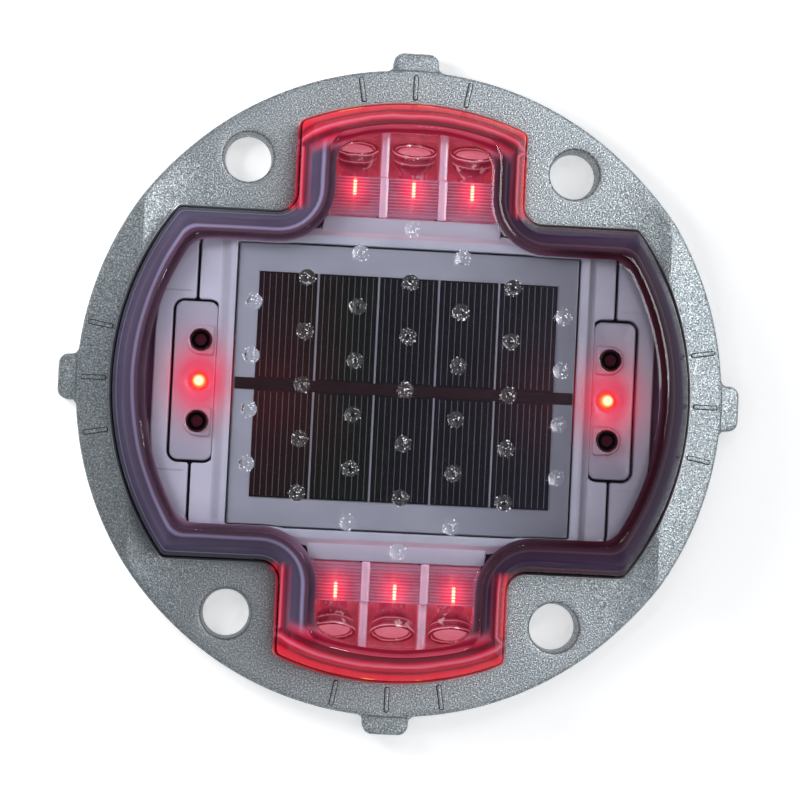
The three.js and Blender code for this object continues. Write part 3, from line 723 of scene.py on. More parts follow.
def grip_bump():
    """The bumps on the deck: the cover's plastic, polished, with glowing white specks of painted glint so
    that they glitter.
    """
    m = Mat("grip_bump", (0.96, 0.95, 0.98), 0.012, Transmission_Weight=1.0, IOR=1.6)
    m.set("Specular IOR Level", 1.0)
    m.bump(m.noise(1700, 1.0), 0.75, 0.12)
    # Painted glints: white specks that glow.
    glint = m.remap(m.noise(2300, 1.0), 0.665, 0.70)
    m.glow((1.0, 1.0, 1.0), glint * 1.4)
    shadowless(m, (0.98, 0.97, 1.0))
    return m.mat


def lamp_line(m, outer_mm, inner_mm):
    """1 along the middle of each of the three lamps of an end, 0 beside it."""
    total = None
    for slot in SLOTS:
        off = abs(m.x - slot * LAMP_PITCH * MM)
        here = m.over(off, outer_mm, inner_mm)
        total = here if total is None else total + here
    return total


def ribbed_window():
    """Ribbed clear plastic with the lamps' light painted on: pink from the lamps below and glowing round each
    lamp, with a painted hot line where a lamp shows through, and paler along each rib's crest as a painted
    highlight.
    """
    m = Mat("ribbed_window", (0.8, 0.3, 0.4), 0.12, Transmission_Weight=0.55, IOR=1.45)
    far = abs(m.y)
    phase = m.math("FRACT", (far - RIB_START * MM) / (RIB_PITCH * MM))
    wobble = m.waver(260, 2.0, 0.6)
    stripe = m.ramp(
        phase + wobble,
        (0.10, (0.36, 0.05, 0.10)),
        (0.38, (0.66, 0.16, 0.25)),
        (0.62, (0.74, 0.30, 0.42)),
        (0.80, (0.66, 0.50, 0.64)),
    )
    edge = m.remap(m.math("PINGPONG", m.x, LAMP_PITCH / 2 * MM), 0.0, LAMP_PITCH / 2 * MM)
    pale = m.remap(edge, 0.45, 0.9) * m.remap(m.noise(330, 2.0), 0.4, 0.6, 0.2, 0.9)
    near = m.over(far, 40.2, 38.2) * 0.6
    m.paint(m.mix(m.math("MAXIMUM", pale, near), stripe, (0.56, 0.36, 0.48)))
    # Painted lamp light: a glow round each lamp and a hot line over each, on a window that is no lamp.
    halo = near_points(m, [(a, b, 15) for a, b, _ in BAR_LEDS], 2.9, (0.95, 1.15, 3.0))
    hot = lamp_line(m, 0.52, 0.20) * m.over(far, 41.5, 42.0) * m.over(far, 45.4, 44.9)
    hot = hot * m.remap(m.math("PINGPONG", phase, 0.5), 0.05, 0.22)
    color = m.mix(hot, (1.0, 0.02, 0.06), (1.0, 0.72, 0.32))
    m.glow(color, m.math("MULTIPLY_ADD", halo, 0.60, 0.03) + hot * 1.3)
    shadowless(m)
    return m.mat


def lamp_reach(m):
    """Distance out along a lamp's tilted line, so that rings can be drawn round its cup."""
    out = (abs(m.y) - LAMP_Y * MM) * math.cos(LAMP_TILT)
    return out + (m.z - LAMP_Z * MM) * math.sin(LAMP_TILT)


def cup_side():
    """The lens's silvery cup with its lamp's red light painted on: dark red with thin pale rings of painted
    highlight, flecks of painted glint, and a red glow.
    """
    m = Mat("cup_side", (0.35, 0.02, 0.05), 0.10, Coat_Weight=0.6, Coat_Roughness=0.03)
    wobble = m.waver(260, 1.0, 0.7 * MM)
    t = m.over(lamp_reach(m) + wobble, 6.2, 11.0)
    rings = m.ramp(
        t,
        (0.00, (0.42, 0.030, 0.070)),
        (0.30, (0.24, 0.010, 0.030)),
        (0.46, (0.14, 0.004, 0.016)),
        (0.54, (0.40, 0.030, 0.060)),
        (0.57, (0.62, 0.20, 0.25)),
        (0.60, (0.30, 0.014, 0.035)),
        (0.80, (0.16, 0.005, 0.020)),
        (0.90, (0.44, 0.030, 0.060)),
        (0.93, (0.74, 0.34, 0.38)),
        (0.965, (0.30, 0.014, 0.035)),
        (1.00, (0.18, 0.008, 0.024)),
    )
    # Painted glints, and the cup glowing in its rings' colours.
    fleck = m.remap(m.noise(420, 2.0), 0.60, 0.68)
    m.paint(m.mix(fleck, rings, (0.62, 0.40, 0.40)))
    m.glow(rings, 0.45)
    return m.mat


def cup_face():
    """The lens's front: a dished disc, rosy and glowing with its lamp's painted light, inside a dark ring and
    a bright rim.
    """
    m = Mat("cup_face", (0.58, 0.14, 0.20), 0.12, Coat_Weight=1.0, Coat_Roughness=0.03)
    m.mottle(260, 2.0, (0.50, 0.12, 0.18), (0.70, 0.30, 0.36), (0.35, 0.65))
    # Painted lamp light: the disc glows though it is no lamp.
    m.glow((1.0, 0.32, 0.42), 0.48)
    return m.mat


def white_trim():
    m = Mat("white_trim", (0.50, 0.50, 0.58), 0.42)
    mottle = m.noise(120, 3.0, 0.5)
    plain = m.ramp(mottle, (0.3, (0.42, 0.455, 0.53)), (0.7, (0.51, 0.545, 0.615)))
    # Painted light: lighter towards the west, by the bezel.
    plain = m.mix(m.over(m.x, -36, -42, 0.0, 0.4), plain, (0.72, 0.73, 0.85))
    # Painted shade: darker towards the east.
    plain = m.mix(m.over(m.x, 32, 50, 0.0, 0.85), plain, (0.20, 0.19, 0.235))
    pod = m.over(m.z, 15.05, 15.2) * m.over(abs(m.x), 40, 40.5)
    plain = m.mix(pod * 0.38, plain, (0.10, 0.09, 0.13))
    # Painted shadow: a dark line across each carrier at 19.3 mm off the middle, standing in for the shade of
    # a step that isn't modelled.
    step = m.close(abs(m.y), 19.3, 0.28, 0.10) * m.over(abs(m.x), 46, 47)
    plain = m.mix(step * 0.45, plain, (0.20, 0.20, 0.27))
    # Painted shade on the bezel's outer slopes, west and east.
    off = abs(abs(m.x) - 39.3 * MM)
    slope = m.over(off, 1.2, 0.5) * m.over(abs(m.y), 31.5, 29)
    plain = m.mix(slope * 0.5, plain, (0.20, 0.21, 0.25))
    # Painted lamp light: a red halo round each side lamp, in the colour and as glow, and a faint red glow
    # line at each end of the tray.
    halo = near_points(m, SIDE_LEDS, 6.4, (1.0, 1.15, 1.0))
    m.paint(m.mix(m.math("MINIMUM", halo * 1.3, 0.96), plain, (0.50, 0.04, 0.09)))
    line = m.close(abs(m.y), 33.4, 1.3, 0.2) * m.over(abs(m.x), 24, 12)
    m.glow((1.0, 0.035, 0.09), halo * 0.50 + line * 0.16)
    m.bump(m.noise(2400, 2.0), 0.12, 0.02)
    return m.mat


def window_trim():
    """The white plastic of the light windows, flooded with red by the lamps in it."""
    m = Mat("window_trim", (0.5, 0.3, 0.4), 0.35)
    far = abs(m.y)
    base = m.ramp(
        m.over(far, 36, 60),
        (0.035, (0.47, 0.46, 0.54)),
        (0.06, (0.52, 0.20, 0.30)),
        (0.40, (0.54, 0.16, 0.25)),
        (0.55, (0.46, 0.08, 0.15)),
        (0.72, (0.40, 0.05, 0.10)),
        (0.80, (0.66, 0.26, 0.34)),
        (0.86, (0.44, 0.06, 0.11)),
        (0.93, (0.66, 0.16, 0.24)),
    )
    red = m.over(far, 37, 39, smooth=True)
    streak = red * m.remap(m.noise(420, 2.0, 0.6), 0.35, 0.65, -0.25, 0.2) + 1.0
    tint = m.node("VectorMath", operation="SCALE")
    m.link(base, tint.inputs[0])
    m.link(streak, tint.inputs["Scale"])
    m.paint(tint.outputs["Vector"])
    halo = near_points(m, BAR_LEDS, 4.2, (0.8, 1.0, 2.0))
    m.glow((1.0, 0.11, 0.18), red * m.math("MULTIPLY_ADD", halo, 0.60, 0.19))
    return m.mat


def divider_trim():
    """The frosted ribs between the lamps: lavender, rosy at the foot with the lamps' painted red light, and
    faintly glowing red.
    """
    m = Mat("divider_trim", (0.55, 0.45, 0.58), 0.3, Coat_Weight=0.4)
    m.paint(m.ramp(m.over(m.z, 8, 14.3), (0.2, (0.45, 0.06, 0.12)), (0.9, (0.62, 0.46, 0.56))))
    m.glow((1.0, 0.16, 0.26), m.remap(m.noise(300, 2.0), 0.35, 0.65, 0.10, 0.26))
    return m.mat


def panel_board():
    m = Mat("panel_board", (0.34, 0.37, 0.42), 0.28, Coat_Weight=0.2, Coat_Roughness=0.08)
    pale = m.ramp(m.noise(90, 2.0), (0.3, (0.30, 0.335, 0.385)), (0.7, (0.35, 0.385, 0.435)))
    # Painted shade: darker towards the east.
    m.paint(m.mix(m.over(m.x, 8, 38, 0.0, 0.85), pale, (0.11, 0.12, 0.15)))
    return m.mat


def solar_cell():
    m = Mat("solar_cell", (0.006, 0.007, 0.010), 0.35, Specular_IOR_Level=0.1)
    across = m.over(m.x, -34, 34)
    wander = across + m.waver(45, 2.0, 0.30)
    m.paint(m.ramp(
        wander,
        (0.0, (0.012, 0.003, 0.005)),
        (0.18, (0.008, 0.004, 0.003)),
        (0.32, (0.002, 0.005, 0.0025)),
        (0.48, (0.002, 0.003, 0.006)),
        (1.0, (0.002, 0.003, 0.008)),
    ))
    # Painted lamp light: a faint red glow on the cells near the side lamps.
    m.glow((1.0, 0.03, 0.06), near_points(m, [(-30, -2, 15), (32, 0, 15)], 11) * 0.022)
    return m.mat


SWING = 0.12  # how far plain surfaces stray from their colour


def simple(name, color, rough, metal=0.0, grain=1500, bump=0.1, **values):
    """A plain moulded or plated surface with fine mottling and grain."""
    m = Mat(name, color, rough, metal, **values)
    low, high = [tuple(min(1.0, c * k) for c in color) for k in (1 - SWING, 1 + SWING)]
    m.mottle(grain / 8, 3.0, low, high)
    if bump:
        m.bump(m.noise(grain, 2.0), bump, 0.02)
    return m.mat


def lamp_core():
    """Side light: white-hot in the middle, orange at the rim."""
    m = Mat("lamp_core", (0.9, 0.2, 0.1), 0.2)
    heart = near_points(m, SIDE_LEDS, 1.25, (1, 1, 6))
    color = m.ramp(heart, (0.20, (1.0, 0.05, 0.02)), (0.42, (1.0, 0.32, 0.05)), (0.66, (1.0, 0.83, 0.40)))
    m.glow(color, m.remap(heart, 0.1, 0.8, 0.8, 1.7))
    return m.mat


def lamp_bar():
    """Lamps under the ribbed windows: a thin hot line along each, in a red body."""
    m = Mat("lamp_bar", (0.6, 0.05, 0.06), 0.2)
    centre = lamp_line(m, 0.55, 0.25)
    far = abs(m.y)
    span = m.over(far, 41.4, 42.2) * m.over(far, 46.2, 45.2)
    hot = centre * span
    m.glow(m.mix(hot, (1.0, 0.03, 0.05), (1.0, 0.62, 0.30)), m.math("MULTIPLY_ADD", hot, 0.9, 0.50))
    return m.mat


CAST = cast_aluminium()
# Painted shade: the dark sides of the tick marks.
CAST_DARK = simple("cast_tick_shade", (0.030, 0.036, 0.040), 0.7, 0.3)
CAST_EDGE = simple("cast_edge", (0.78, 0.80, 0.83), 0.34, 1.0, bump=0.2)
CLEAR = clear_cover()
BUMP = grip_bump()
WALL = cover_wall()
WALL_IN = cover_wall_inside()
RIBBED = ribbed_window()
CUP_SIDE = cup_side()
CUP_FACE = cup_face()
TRIM = white_trim()
WINDOW = window_trim()
DIVIDER = divider_trim()
BOARD_PALE = panel_board()
CELL = solar_cell()
FINGER = simple("cell_finger", (0.055, 0.053, 0.060), 0.45, bump=0)
SEPARATOR = simple("cell_gap", (0.20, 0.205, 0.235), 0.4, bump=0)
RIBBON = simple("ribbon", (0.012, 0.003, 0.005), 0.5, Specular_IOR_Level=0.1)
# Painted shade: the purple sheet that stands for the shaded hollow beside each carrier.
SHADE_SHEET = simple("shade_sheet_purple", (0.20, 0.09, 0.17), 0.5, grain=900, Specular_IOR_Level=0.2)
GASKET = simple("gasket", (0.022, 0.012, 0.034), 0.55, Coat_Weight=0.2)
BASE = simple("base", (0.035, 0.022, 0.045), 0.6, grain=1200, bump=0.35)
STEEL = simple("steel", (0.60, 0.60, 0.60), 0.3, 1.0)
# Painted shade: the dark maroon of the posts and their bores.
BORE_SHADE = simple("bore_shade", (0.045, 0.005, 0.012), 0.8, bump=0, Specular_IOR_Level=0.05)
LAMP_CORE = lamp_core()
LAMP_BAR = lamp_bar()
PCB_WHITE = simple("led_board", (0.80, 0.80, 0.80), 0.4)
PCB_GREEN = simple("circuit_board", (0.02, 0.12, 0.05), 0.35, Coat_Weight=0.4)
CHIP = simple("component_black", (0.02, 0.02, 0.02), 0.45)
SLEEVE = simple("battery_wrap", (0.03, 0.22, 0.12), 0.25, grain=600, Coat_Weight=0.3)
RED_WIRE = simple("wire_red", (0.45, 0.01, 0.01), 0.4)
BLACK_WIRE = simple("wire_black", (0.01, 0.01, 0.01), 0.4)


def put(obj, slot, *nodes):
    """Registers a piece on the marker's one body, in place of the CAD nodes it stands for."""
    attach(obj, "root")
    if nodes:
        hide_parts(*nodes)


# ---- Flange --------------------------------------------------------------------------------
DIP_R, DIP_W = 70.7, 0.7  # where the crown dips down to the tabs
DIP_RINGS = (DIP_R, DIP_R + 0.25, DIP_R + 0.5)
GRID_PITCH = 1.5  # distance between the loose vertices of the top face


def ramp_share(x, y):
    """How far round a point lies in the fan from the bolt hole's pad (0) to the shoulder (1)."""
    def ends(t):
        out = []
        for r in (RIM_R - 14, RIM_R + 6):
            cx, cy = CREST_X, math.sqrt(max(r * r - CREST_X**2, 0))
            sx, sy = r * math.cos(RAMP_START), r * math.sin(RAMP_START)
            out.append((sx + (cx - sx) * t, sy + (cy - sy) * t))
        return out

    low, high = np.zeros_like(x), np.ones_like(x)
    for _ in range(24):
        t = (low + high) / 2
        (ax, ay), (bx, by) = ends(t)
        beyond = (bx - ax) * (y - ay) - (by - ay) * (x - ax) < 0
        low = np.where(beyond, t, low)
        high = np.where(beyond, high, t)
    return (low + high) / 2


def crown_z(pts):
    """Height of the flange's top face."""
    p = np.abs(np.asarray(pts, dtype=float))
    x, y = p[:, 0], p[:, 1]
    share = ramp_share(np.minimum(x, CREST_X), y)
    z = PAD_Z + (CREST_Z - PAD_Z) * share**RAMP_POWER
    fall = (CREST_Z - PAD_Z) / (RIM_R - CREST_X)
    z = np.where(x > CREST_X, CREST_Z - fall * (x - CREST_X), z)
    r = np.hypot(x, y)
    drop = np.clip((r - DIP_R) / DIP_W, 0, 1)
    return z + (TAB_Z - z) * drop * drop * (3 - 2 * drop)


def tick_marks(s):
    """Twelve thin raised ticks with round ends, three in front of each tab."""
    for turn in range(4):
        for step in (-1, 0, 1):
            a = turn * math.pi / 2 + math.radians(10 * step)
            outline = round_rect(67.2, 0, 5.4, 0.86, 0.4, 4)
            rot = [(x * math.cos(a) - y * math.sin(a), x * math.sin(a) + y * math.cos(a)) for x, y in outline]
            ground = crown_z(rot)
            low = s.ring(offset(rot, -0.16), ground - 0.3)
            foot = s.ring(offset(rot, -0.14), ground + 0.02)
            brow = s.ring(offset(rot, 0.05), ground + 0.30)
            rings = [low, foot, brow, s.ring(offset(rot, 0.14), ground + 0.35)]
            # The sides wear the dark material, a painted shade round each tick.
            first = len(s.faces)
            s.stack(rings[:3])
            s.wear(1, first)
            s.stack(rings[2:])
            s.region(rings[-1])
            s.region(rings[0], up=False)


def make_housing():
    s = Solid()
    outer = split_long(flange_outline(), 1.6)
    window = split_long(window_outline(0), 2.0)
    tops, feet = [], []

    # Rim: rounded top edge, upright side, small round at the foot.
    ring_sets = [s.ring(offset(outer, i), d) for i, d in reversed(round_steps(0.2, 2))]
    brow = crown_z(offset(outer, 0.75))
    ring_sets += [s.ring(offset(outer, i), brow - d) for i, d in round_steps(0.75, 4)]
    s.stack(ring_sets)
    feet.append(ring_sets[0])
    tops.append(ring_sets[-1])

    # Window: bright chamfer, upright wall, ledge, throat and under-recess.
    wall = [s.ring(window, LEDGE_Z)]
    lip = crown_z(offset(window, -0.55))
    wall.append(s.ring(window, lip - 0.55))
    wall.append(s.ring(offset(window, -0.12), lip - 0.30))
    wall.append(s.ring(offset(window, -0.40), lip - 0.06))
    wall.append(s.ring(offset(window, -0.62), crown_z(offset(window, -0.62))))
    s.stack(wall[:3], flip=True)
    first = len(s.faces)
    s.stack(wall[2:], flip=True)
    s.wear(2, first)
    tops.append(wall[-1])
    throat = split_long(window_outline(LEDGE_W), 2.0)
    throat_top, throat_low = s.ring(throat, LEDGE_Z), s.ring(throat, LEDGE_BOTTOM)
    s.region(wall[0], [throat_top])
    s.strip(throat_low, throat_top, flip=True)
    recess_top, recess_low = s.ring(window, LEDGE_BOTTOM), s.ring(window, 0.0)
    s.region(recess_top, [throat_low], up=False)
    s.strip(recess_low, recess_top, flip=True)
    feet.append(recess_low)

    # Bolt holes: rounded mouth, tapered wall.
    for cx, cy in BOLTS:
        profile = [(HOLE_R_BOTTOM + 0.2, 0.0), (HOLE_R_BOTTOM, 0.2), (HOLE_R_TOP - 0.1, PAD_Z - 0.9)]
        profile += [(HOLE_R_TOP + i, PAD_Z - d) for i, d in round_steps(0.55, 3)]
        mouth = s.rounds(cx, cy, 48, profile)
        s.stack(mouth, flip=True)
        tops.append(mouth[-1])
        feet.append(mouth[0])

    # Top face: a fine mesh that follows the crown, with the shoulder's ridge as a line in it.
    places = [(col + 0.5 * (row % 2), row * 0.866) for row in range(-56, 57) for col in range(-52, 53)]
    grid = np.array(places) * GRID_PITCH
    loops = [[s.verts[v][:2] for v in t] for t in tops]
    keep = inside(loops[0], grid) & (distance_to(loops[0], grid) > 0.7)
    for loop in loops[1:]:
        keep &= ~inside(loop, grid) & (distance_to(loop, grid) > 0.7)
    keep &= np.abs(np.abs(grid[:, 0]) - CREST_X) > 0.6
    for r in (DIP_RINGS[0], DIP_RINGS[-1]):
        keep &= np.abs(np.hypot(grid[:, 0], grid[:, 1]) - r) > 0.5
    grid = grid[keep]
    extra = s.points(np.column_stack([grid, crown_z(grid)]))
    ridge_lines = []
    for sx in SIDES:
        for sy in SIDES:
            y = np.arange(24.0, 42.0, 1.0)
            run = np.column_stack([np.full_like(y, sx * CREST_X), sy * y])
            ok = ~inside(loops[1], run) & inside(loops[0], run)
            ok &= (distance_to(loops[1], run) > 0.9) & (distance_to(loops[0], run) > 0.9)
            run = run[ok]
            ids = s.points(np.column_stack([run, crown_z(run)]))
            extra += ids
            first = min(tops[1], key=lambda v: math.dist(s.verts[v][:2], run[0]))
            last = min(tops[0], key=lambda v: math.dist(s.verts[v][:2], run[-1]))
            chain = [first, *ids, last]
            ridge_lines += list(zip(chain, chain[1:]))
    for turn in range(4):
        for r in DIP_RINGS:
            middle = turn * math.pi / 2
            arcp = np.array(arc(0, 0, r, middle - 0.055, middle + 0.055, 10))
            ids = s.points(np.column_stack([arcp, crown_z(arcp)]))
            extra += ids
    s.region(tops[0], tops[1:], extra, ridge_lines)
    s.region(feet[0], feet[1:], up=False)
    tick_marks(s)
    obj = s.build("housing_cast", [CAST, CAST_DARK, CAST_EDGE], 38)
    mark_ridges(obj)
    return obj


def mark_ridges(obj):
    """Keeps the shoulder's ridge a crisp line under smooth shading."""
    mesh = obj.data
    on = [abs(abs(v.co.x) - CREST_X * MM) < 2e-6 and v.co.z > 5.5 * MM for v in mesh.vertices]
    sharp = mesh.attributes.get("sharp_edge") or mesh.attributes.new("sharp_edge", "BOOLEAN", "EDGE")
    for e in mesh.edges:
        if on[e.vertices[0]] and on[e.vertices[1]]:
            sharp.data[e.index].value = True


put(make_housing(), "cast_aluminium", "housing")


# ---- Clear cover ---------------------------------------------------------------------------
def bump_places():
    for column in range(-3, 4):
        end = 3 - abs(column) / 2
        row = -end
        while row <= end:
            yield column * BUMP_DX, row * BUMP_DY
            row += 1


def make_cover():
    s = Solid()
    # Outside, from the foot up over the shoulder and the ridge to the deck's edge.
    outside = [(0.40, 4.4), (0.30, 4.6), (0.30, 9.0), (0.36, 9.5), (0.60, 10.2), (1.10, 11.7), (1.75, 13.5),
               (2.50, 15.6), (2.75, 16.2), (3.05, 16.75), (3.50, 17.35), (4.30, 18.4), (5.20, 19.6),
               (5.70, 20.25), (5.95, 20.60), (6.25, 20.88), (6.60, 21.0), (6.85, 21.0)]
    rings = [s.ring(window_outline(i), z) for i, z in outside]
    s.stack(rings[:-2])
    s.wear(3, 0)
    s.stack(rings[-3:])
    # Inside, from the foot to the ceiling.
    within = [(2.70, 4.4), (2.70, 9.0), (2.95, 9.7), (3.90, 12.6), (4.75, 14.9), (5.15, 15.55), (5.80, 16.3),
              (6.90, 17.6), (7.35, 18.15), (7.75, 18.5), (8.15, 18.6), (8.40, 18.6)]
    inner = [s.ring(window_outline(i), z) for i, z in within]
    first = len(s.faces)
    s.stack(inner[:-2], flip=True)
    s.strip(inner[0], rings[0])
    s.wear(4, first)
    s.stack(inner[-3:], flip=True)
    # Deck with its grip bumps.
    feet = []
    sphere = (BUMP_R**2 + BUMP_H**2) / (2 * BUMP_H)
    for x, y in bump_places():
        first = len(s.faces)
        profile = [(BUMP_R + 0.30, DECK_Z), (BUMP_R + 0.10, DECK_Z), (BUMP_R - 0.03, DECK_Z + 0.07)]
        for r in (BUMP_R * k for k in (0.85, 0.66, 0.44, 0.22)):
            profile.append((r, DECK_Z + math.sqrt(sphere**2 - r * r) - (sphere - BUMP_H)))
        cap = s.rounds(x, y, 24, profile)
        s.stack(cap)
        s.fan(cap[-1], s.points([(x, y, DECK_Z + BUMP_H)])[0])
        s.wear(1, first)
        feet.append(cap[0])
    s.region(rings[-1], feet)
    # Ceiling with the four screw posts hanging from it, drawn dark below their necks as painted shade.
    roots = []
    for x, y in POSTS:
        first = len(s.faces)
        foot = s.rounds(x, y, 28, [(BORE_R, 1.95), (POST_R, 1.95)])
        neck = s.ring(circle(x, y, POST_R, 28), 17.2)
        bore = s.rounds(x, y, 28, [(BORE_R, 16.0), (BORE_R, 16.4)])
        s.stack([foot[0], *bore], flip=True)
        s.fan(bore[1], s.points([(x, y, 16.5)])[0], flip=True)
        s.stack([*foot, neck])
        s.wear(2, first)
        flare = [(POST_R + 0.08, 18.0), (POST_R + 0.3, 18.45), (POST_R + 0.7, 18.6), (POST_R + 0.9, 18.6)]
        rings = [neck, *s.rounds(x, y, 28, flare)]
        s.stack(rings)
        roots.append(rings[-1])
    s.region(inner[-1], roots, up=False)
    return weighted(s.build("lens_cover_clear", [CLEAR, BUMP, BORE_SHADE, WALL, WALL_IN], 24))


put(make_cover(), "clear_cover", "lens_cover")


def make_gasket():
    s = Solid()
    profile = [(0.25, 3.52), (0.25, 4.3), (0.45, 4.38), (2.4, 4.38), (2.7, 4.25), (2.8, 3.52)]
    rings = [s.ring(window_outline(i), z) for i, z in profile]
    s.stack(rings + rings[:1])
    return s.build("gasket_ring", GASKET, 40)


put(make_gasket(), "gasket", "cover_gasket")


def make_base():
    holes = [circle(x, y, 1.4, 24) for x, y in POSTS]
    return plate("base_plate_moulded", BASE, split_long(window_outline(0.3), 3), holes, 0.3, 1.8, 0.2, 0.25)


put(make_base(), "base", "base_plate")


def make_screw(name, x, y, z0, length):
    """Countersunk screw: round recess in the head, thread rings on the shank."""
    head = [(0.0, 0.55), (0.5, 0.5), (0.75, 0.02), (2.25, 0.0), (2.4, 0.06), (2.4, 0.2), (1.05, 1.2)]
    profile = [(r, z0 + z) for r, z in head]
    z = z0 + 1.6
    while z < z0 + length - 1.2:
        profile += [(0.82, z), (1.02, z + 0.25), (0.82, z + 0.5)]
        z += 0.75
    profile += [(0.7, z0 + length - 0.9), (0.0, z0 + length)]
    return lathe(name, STEEL, profile, 28, Matrix.Translation((x, y, 0)))


for i, (x, y) in enumerate(POSTS, 1):
    put(make_screw(f"base_screw_{i}_turned", x, y, 0.35, 12), "steel", f"base_screw_{i}")


# ---- White frame, carriers and pods --------------------------------------------------------
def make_frame_plate():
    """The flat tray round the panel, notched round the two pods."""
    half, end = POD_X - 0.3, 32.6
    notch_x, notch_y, r = POD_X - POD_W / 2 - 0.6, POD_L / 2 + 0.6, 2.4
    quarter = [(notch_x, 0), (notch_x, notch_y - r)]
    quarter += arc(notch_x + r, notch_y - r, r, math.pi, math.pi / 2, 6)[1:]
    quarter += [(half - 0.5, notch_y)] + arc(half - 0.5, notch_y + 0.5, 0.5, -math.pi / 2, 0, 3)[1:]
    quarter += arc(half - 1.2, end - 1.2, 1.2, 0, math.pi / 2, 5)
    quarter += [(20, end), (0, end)]
    recess = round_rect(0, 0, PANEL_X + 0.8, PANEL_Y + 0.8, 0.5, 3)
    outline = split_long(mirrored(quarter), 4)
    return plate("frame_plate", TRIM, outline, [recess], WHITE_LOW, WHITE_TOP, 0.35, 0.2)


BEZEL = [
    (3.6, 14.7), (3.5, 15.05), (2.9, 15.25), (2.2, 15.75), (1.9, 15.98), (1.5, 16.08),
    (0.45, 16.1), (0.12, 16.0), (0.0, 15.75), (0.0, 13.3), (1.6, 13.3),
]
put(make_frame_plate(), "white_trim", "panel_frame")
put(frame_ring("frame_bezel", TRIM, PANEL_X / 2 + 0.4, PANEL_Y / 2 + 0.4, BEZEL, 0.6), "white_trim")
put(boxes("frame_floor", TRIM, [(-37, 37, -30.6, 30.6, 12.6, 13.2)]), "white_trim")


def on_side(loop, sign):
    """A loop drawn for the east, or its mirror image for the west."""
    return loop if sign > 0 else [(-x, y) for x, y in reversed(loop)]


def make_carrier(side, sign):
    """White ledge from the frame's seam out to the cover's wall, cut away round the pod."""
    inner, r = POD_X + 0.3, 2.4
    notch_x, notch_y = POD_X + POD_W / 2 + 0.6, POD_L / 2 + 0.6
    big, edge, end = 56.2, 54.0, 31.6
    turn = math.acos(edge / big)
    rim = [(edge, 0.0)] + arc(0, 0, big, turn, math.asin((end - 1.9) / big), 10)
    x1, y1 = rim[-1]
    rim += [(x1 - 0.5, y1 + 0.8), (x1 - 1.1, y1 + 1.3), (inner + 0.5, end - 0.5)]
    rim = [(x, -y) for x, y in reversed(rim[1:])] + rim
    notch = [(inner, end - 1.0), (inner, notch_y + 0.4), (inner + 0.4, notch_y)]
    notch += arc(notch_x - r, notch_y - r, r, math.pi / 2, 0, 6)
    loop = on_side(clean(rim + notch + [(x, -y) for x, y in reversed(notch)]), sign)
    return plate(f"carrier_{side}", TRIM, split_long(loop, 3), [], WHITE_LOW, WHITE_TOP, 0.4, 0.2)


def make_shade_sheet(side, sign):
    """Purple sheet under the carrier, painted shade that closes the view down between it and the cover's
    wall.
    """
    turn = math.acos(SHADE_SHEET_X / SHADE_SHEET_R)
    loop = on_side(arc(0, 0, SHADE_SHEET_R, -turn, turn, 24), sign)
    return plate(f"carrier_shade_sheet_{side}", SHADE_SHEET, split_long(loop, 3), [], 11.2, 12.0, 0.2, 0.1)


def boss_outline(sign, cy):
    """A D: round on the outer side, straight towards the panel."""
    r, x0, x1 = 3.1, POST_X - 2.9, POST_X - 2.5
    pts = arc(POST_X, cy, r, -math.pi / 2, math.pi / 2, 20)
    pts += [(x1, cy + r), (x0, cy + r - 0.4), (x0, cy - r + 0.4), (x1, cy - r)]
    return clean(on_side(pts, sign))


def make_pod(side, sign):
    """Plate with a D-shaped boss and a bore round each of two posts, and a well for the light."""
    x = sign * POST_X
    s = Solid()
    outline = split_long(round_rect(sign * POD_X, 0, POD_W, POD_L, 1.8, 8), 3)
    rings = s.edges(outline, POD_LOW, POD_TOP, 0.35, 0.15)
    s.stack(rings)
    tops, feet = [], []
    for cy in (-POST_Y, POST_Y):
        boss = boss_outline(sign, cy)
        steps = ((-0.12, POD_TOP), (-0.04, POD_TOP + 0.1), (0.06, BOSS_TOP - 0.2), (0.3, BOSS_TOP))
        wall = [s.ring(offset(boss, i), z) for i, z in steps]
        s.stack(wall)
        bore = s.rounds(x, cy, 36, [(2.15, POD_LOW), (2.15, 15.0), (2.0, 15.7), (2.3, BOSS_TOP)])
        s.stack(bore, flip=True)
        s.region(wall[-1], [bore[-1]])
        tops.append(wall[0])
        feet.append(bore[0])
    well = s.rounds(x, 0, 36, [(2.0, POD_LOW), (2.0, 14.6), (2.35, 15.15), (2.7, POD_TOP)])
    s.stack(well, flip=True)
    s.region(rings[-1], [*tops, well[-1]])
    s.region(rings[0], [*feet, well[0]], up=False)
    return s.build(f"pod_{side}", TRIM)


def make_side_led(side, sign):
    profile = [(0, POD_LOW), (1.7, POD_LOW), (1.7, 13.3), (1.45, 13.4), (1.45, 14.9)]
    profile += [(1.3, 15.45), (0.95, 15.9), (0.5, 16.13), (0, BOSS_TOP)]
    return lathe(f"side_led_{side}_lit", LAMP_CORE, profile, 28, Matrix.Translation((sign * POST_X, 0, 0)))


for side, sign in (("west", -1), ("east", 1)):
    put(make_carrier(side, sign), "white_trim", f"side_carrier_{side}")
    put(make_shade_sheet(side, sign), "white_trim")
    put(make_pod(side, sign), "white_trim", f"pod_plate_{side}")
    put(make_side_led(side, sign), "led", f"side_led_{side}")


# ---- Solar panel ---------------------------------------------------------------------------
ROWS = {"north": MID_GAP / 2, "south": -MID_GAP / 2 - CELL_H}  # the low edge of each row of cells
board = round_rect(0, 0, PANEL_X, PANEL_Y, 0.4, 3)
put(
    plate("solar_board_pale", BOARD_PALE, board, [], PANEL_Z, PANEL_Z + PANEL_T, 0.12, 0.1),
    "panel_board", "solar_board",
)


